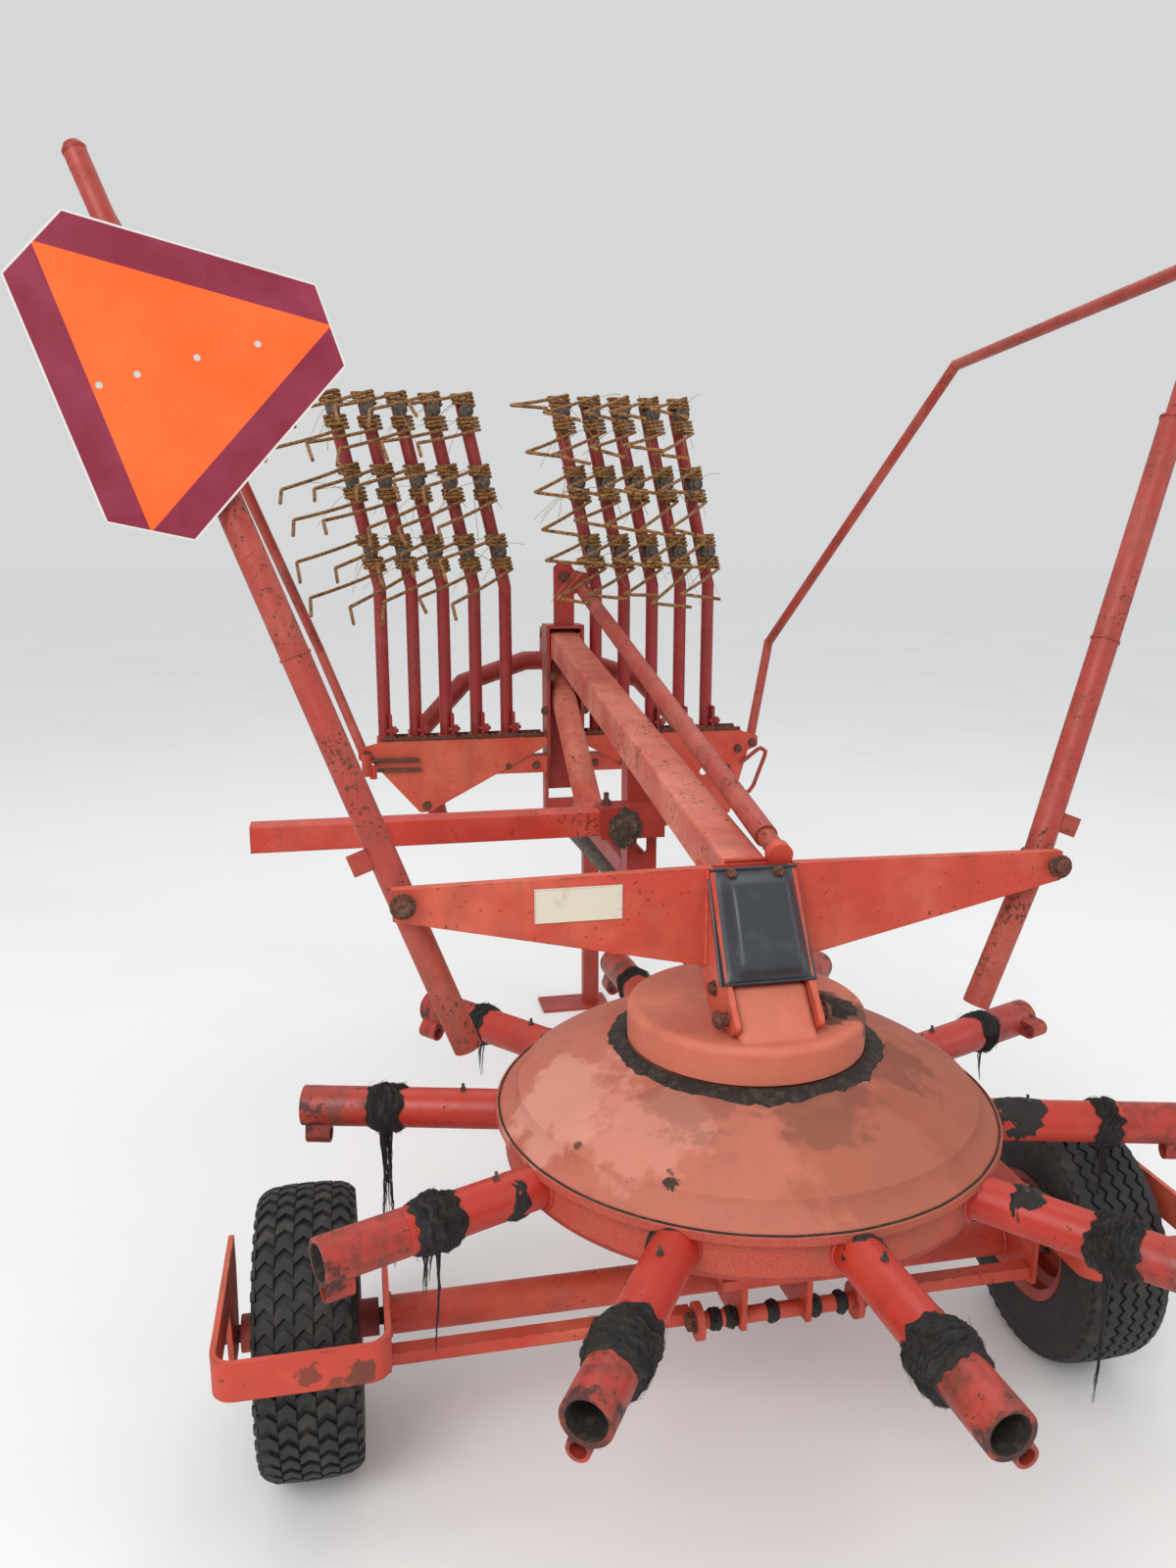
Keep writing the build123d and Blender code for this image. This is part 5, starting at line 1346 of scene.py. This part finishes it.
@dataclass(frozen=True)
class GuardDress:
    """Bolts, seams and cap of one folding guard."""

    size: GuardSize

    def make(self) -> None:
        """Set the hinge bolts, the weld collars and the end cap of the thick tube."""
        s = self.size
        along = s.axes()[1]
        bolts, seams, caps = Shape(), Shape(), Shape()
        bolts.disc(s.point(-30, 0), -along, 21, 4, 22)
        bolts.bolt(s.point(-34, 0), -along, 26, 12, False)
        bolts.bolt(s.point(1758, 0), along, 19, 9)
        bolts.make("hinge_bolts_" + s.side, Coat.RUST)
        for low, high in s.seams:
            a, b = s.point(*low), s.point(*high)
            seams.lathe([(17, -5), (26.2, -2), (26.2, 2), (17, 5)], (a + b) / 2, b - a, 28, True)
        seams.make("tube_seams_" + s.side, Coat.GUARD_RED, "guard_" + s.side)
        top, low = s.point(*s.crown[0]), s.point(*s.crown[1])
        caps.lathe([(0, 0), (18.5, 0), (19, 5), (13, 14), (0, 16)], top, top - low, 24)
        caps.make("tube_cap_" + s.side, Coat.TINE_ARM_RED, "guard_" + s.side, "red_paint")


@dataclass(frozen=True)
class RackDress:
    """Rails, handles, stirrup and latch parts at the racks."""

    rails_y: tuple[float, float] = (1712, 1778)  # places of the two thin rails, mm
    teeth: int = 26  # number of teeth on a rail
    pitch: float = 18.6  # distance between teeth, mm
    # (x, z) of the stirrup's corners, mm
    stirrup: Pairs = ((560, 812), (628, 864), (650, 850), (604, 726), (540, 700), (534, 716))

    def make(self) -> None:
        """Add the thin slotted rails, the two handles, the latch tubes and the stirrup."""
        rails, teeth, handles, latch, stirrup = (Shape() for _ in range(5))
        for side in (-1, 1):
            for y in self.rails_y:
                rails.box((side * 316, y, 925.5), (250, 4, 5.5))
            for k in range(self.teeth):
                teeth.box((side * (76 + k * self.pitch), 1711, 933), (5.2, 3, 2.6))
        rails.make("rack_rails", Coat.RUST, bevel_mm=0.8)
        teeth.make("rail_teeth", Coat.RUST)
        for x0, x1, z in ((-618, -452, 868), (-600, -446, 838)):
            handles.tube([at(x0, 1689, z), at(x1, 1688, z - 2)], 6.5, 10)
        handles.make("latch_handles", Coat.RUST)
        latch.tube([at(-606, 1686, 822), at(-606, 1686, 888)], 15, 16)
        latch.tube([at(-588, 1690, 812), at(-588, 1690, 852)], 11, 14)
        latch.make("latch_tubes", Coat.BRIGHT_RED, bevel_mm=0.8)
        path = []
        for (x0, z0), (x1, z1) in zip(self.stirrup, self.stirrup[1:]):
            path += [at(x0 + (x1 - x0) * f, 1692, z0 + (z1 - z0) * f) for f in (0.12, 0.5, 0.88)]
        stirrup.tube(path, 6.5, 10)
        stirrup.make("stirrup", Coat.GUARD_RED)


@dataclass(frozen=True)
class BarDress:
    """Dirt and clamp screw of the swath bar's holder."""

    centre: Point = (-56, 663, 888)  # middle of the dirt, mm
    radii: Point = (35, 13, 42)  # its half sizes, mm
    wall_y: float = 666.5  # plane of the collar's wall that the dirt doesn't pass, mm
    screw: Point = (-92, 700, 934)  # foot of the clamp screw, mm

    def make(self) -> None:
        """Cake the dirt in the holder and set the clamp screw of the bar."""
        dirt, screw = Shape(), Shape()
        ball = bmesh.new()
        bmesh.ops.create_icosphere(ball, subdivisions=4, radius=1.0)
        verts = []
        for co in (v.co for v in ball.verts):
            rough = 1 + 0.3 * noise.noise(co * 2.1) + 0.2 * noise.noise(co * 6.3) + 0.1 * noise.noise(co * 15)
            lump = at(*self.centre) + Vector([c * r for c, r in zip(co, self.radii)]) * rough * MM
            # The dirt sits on the collar's wall and leaves the bar free to slide
            lump.y = min(lump.y, at(0, self.wall_y, 0).y)
            verts.append(lump)
        dirt.add(verts, [tuple(v.index for v in f.verts) for f in ball.faces])
        ball.free()
        dirt.make("caked_dirt", Coat.MUD)
        foot = at(*self.screw)
        screw.bolt(foot, UP, 19, 10)
        screw.tube([foot + mm(0, 0, 10), foot + mm(0, 0, 28)], 6, 10)
        screw.make("clamp_screw", Coat.RUST)


@dataclass(frozen=True)
class Undercarriage:
    """Bolts, welds and grease under the rotor."""

    axle: tuple[float, float] = (-8, 228.5)  # place and height of the axle tube, mm
    # (x, inwards) of the axle tube's two ends, mm
    axle_ends: tuple[tuple[float, int], ...] = ((-624, 1), (512, -1))
    pivot: tuple[float, float] = (-133, 232)  # place and height of the cross pivot, mm
    greased: tuple[float, ...] = (-86, -58, 16, 92, 140)  # places of grease along the cross pivot, mm

    def make(self) -> None:
        """Weld the forks to the axle, bolt the pivot and grease it."""
        weld, rust, grease = Shape(), Shape(), Shape()
        y, z = self.axle
        for x, inwards in self.axle_ends:
            ring = [at(x, y + math.cos(a) * 33, z + math.sin(a) * 33) for a in turns(44)]
            weld.seal([p + mm(2 * inwards) for p in ring], 4.6)
        weld.make("axle_welds", Coat.BRIGHT_RED)
        for x, out in ((-121.5, -1), (174.5, 1)):
            rust.bolt(at(x, *self.pivot), RIGHT * out, 27, 12)
        for x in (-52, 83):
            for y in (-120, 40):
                rust.bolt(at(x, y, 299), -UP, 19, 10)
        rust.make("pivot_bolts", Coat.RUST)
        for seed, x in enumerate(self.greased):
            rows = []
            for i in range(9):
                f = i / 8
                row = []
                for a in turns(20):
                    out = Vector((0, math.cos(a), math.sin(a)))
                    lumpy = 0.7 + 0.8 * noise.noise(out * 2 + Vector((x, i, seed)))
                    r = 14 + 6.5 * math.sin(math.pi * f) ** 0.5 * lumpy
                    row.append(at(x + (f - 0.5) * 22, *self.pivot) + out * max(r, 13.5) * MM)
                rows.append(row)
            grease.rows(rows)
        grease.make("pivot_grease", Coat.GREASE)


CAD_COATS = {
    Coat.BEAM_RED: ("main_beam", "mast_strut"),
    Coat.FRAME_RED: ("head_fork", "wing_left", "wing_right", "rack_left", "rack_right", "cross_channel",
                     "axle_bracket", "axle_tube", "axle_stays", "wheel_fork_left", "wheel_fork_right"),
    # Darker copy of the frame red, painted shade on these parts
    Coat.SHADE_RED: ("mast_channel", "mast_post", "lower_channel", "bar_hanger", "stand_sleeve",
                     "parking_stand", "hitch", "rotor_floor", "rotor_column"),
    Coat.BRIGHT_RED: ("swath_bar",),
    Coat.ROTOR_RED: ("rotor_dome",),
    Coat.CAP_RED: ("gear_cap",),
    Coat.ARM_RED: ("arm_tubes",),
    Coat.TIP_RED: ("arm_ends",),
    Coat.GUARD_RED: ("guard_left", "guard_right", "height_spindle"),
    Coat.TINE_ARM_RED: ("tine_arms_left", "tine_arms_right"),
    Coat.RIM_RED: ("wheel_rim_left", "wheel_rim_right"),
    Coat.RUST: ("fork_pin", "hinge_pins", "wheel_pins", "swivel_pin"),
    Coat.STEEL: ("drive_tube",),
    Coat.FOIL: ("warning_triangle",),
    Coat.RUBBER: ("tyre_left", "tyre_right"),
    Coat.WIRE: ("coil_tines_left", "coil_tines_right"),
    Coat.COVER: ("head_cover",),
}


def paint_cad() -> None:
    """Give every CAD node its finish."""
    for coat, names in CAD_COATS.items():
        for name in names:
            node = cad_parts[name]
            node.data.materials.clear()
            node.data.materials.append(paint(coat))
            log.info("%s painted with %s", name, coat.value)


@dataclass(frozen=True)
class Studio:
    """Floor, lights, background and camera."""

    floor_r: float = 60.0  # radius of the floor, metres
    aim: Point = (0.0, -1.2, 0.8)  # point that the lights face, metres
    # name, place in metres, edge in metres and watts of each light
    lamps: tuple = (("key_light", (-3.4, -5.6, 4.6), 3.2, 210.0), ("fill_light", (4.6, -3.6, 3.4), 3.0, 40.0),
                    ("top_light", (0.4, 1.2, 5.6), 3.6, 60.0))
    sky: str = "#eff2f6"  # colour that lights the machine
    pale: str = "#d6d8d8"  # colour that the camera sees
    lens: float = 26.82
    eye: Point = (-0.6418, -3.592, 1.525)  # place of the camera, metres
    tilt: Point = (78.0, 0.0, -11.5)  # turns of the camera, degrees

    def floor(self) -> bpy.types.Object:
        """Lay the pale floor.

        Returns:
            The floor object.
        """
        mesh = bpy.data.meshes.new("studio_floor")
        mesh.from_pydata([tuple(level_way(a) * self.floor_r) for a in turns(48)], [], [tuple(range(48))])
        mesh.materials.append(paint(Coat.FLOOR))
        return place("studio_floor", mesh)

    def lamp(self, name: str, spot: Point, size: float, power: float) -> bpy.types.Object:
        """Hang one square soft light that faces the machine.

        Args:
            name: name of the light.
            spot: place in metres.
            size: edge in metres.
            power: watts.

        Returns:
            The light object.
        """
        data = bpy.data.lights.new(name, "AREA")
        data.shape = "SQUARE"
        data.size = size
        data.energy = power
        obj = place(name, data)
        obj.location = spot
        obj.rotation_euler = (Vector(self.aim) - Vector(spot)).to_track_quat("-Z", "Y").to_euler()
        return obj

    def background(self) -> None:
        """Make a pale background for the camera and a soft light for the machine."""
        t = Tree(bpy.data.worlds.new("studio"), "OutputWorld")
        ray = t.add("LightPath").outputs
        seen = t.math("ADD", ray["Is Camera Ray"], ray["Is Glossy Ray"])
        seen = t.math("ADD", seen, ray["Is Transmission Ray"])
        light, pale = (t.add("Background", {0: linear(c), 1: 1.0}).outputs[0] for c in (self.sky, self.pale))
        both = t.add("MixShader", {0: seen, 1: light, 2: pale})
        t.tree.links.new(both.outputs[0], t.out.inputs[0])
        bpy.context.scene.world = t.owner

    def camera(self) -> None:
        """Set the camera where the photographer stood."""
        data = bpy.data.cameras.new("camera")
        data.lens = self.lens
        data.sensor_width = 36.0
        data.clip_end = 200.0
        obj = place("camera", data)
        obj.location = self.eye
        obj.rotation_euler = [math.radians(a) for a in self.tilt]
        bpy.context.scene.camera = obj

    def build(self) -> None:
        """Build the stage."""
        floor = self.floor()
        lamps = [self.lamp(*row) for row in self.lamps]
        self.background()
        self.camera()
        bpy.context.scene.view_settings.view_transform = "Standard"


def main() -> None:
    """Build the sub-assemblies in order, then the stage."""
    logging.basicConfig(level=logging.INFO, format="%(message)s")
    paint_cad()
    dress = RotorDress(Rotor())
    dress.grease()
    dress.seams()
    dress.fittings()
    for size in (WheelSize("left", -752.0, Tread.CHEVRON), WheelSize("right", 640.0, Tread.ZIGZAG)):
        Tyre(size).make()
        Hub(size).make()
    for side in ("left", "right"):
        tines = CoilTines(TineSize(), side)
        tines.make()
        tines.feet()
    head = HeadDress()
    head.cover()
    head.welds()
    head.badge()
    head.bolts()
    for guard in (GuardSize("left", -1, 578.0, 610.0), GuardSize("right", 1, 562.0, 602.0)):
        GuardDress(guard).make()
    RackDress().make()
    BarDress().make()
    Undercarriage().make()
    Studio().build()


if __name__ == "__main__":
    main()
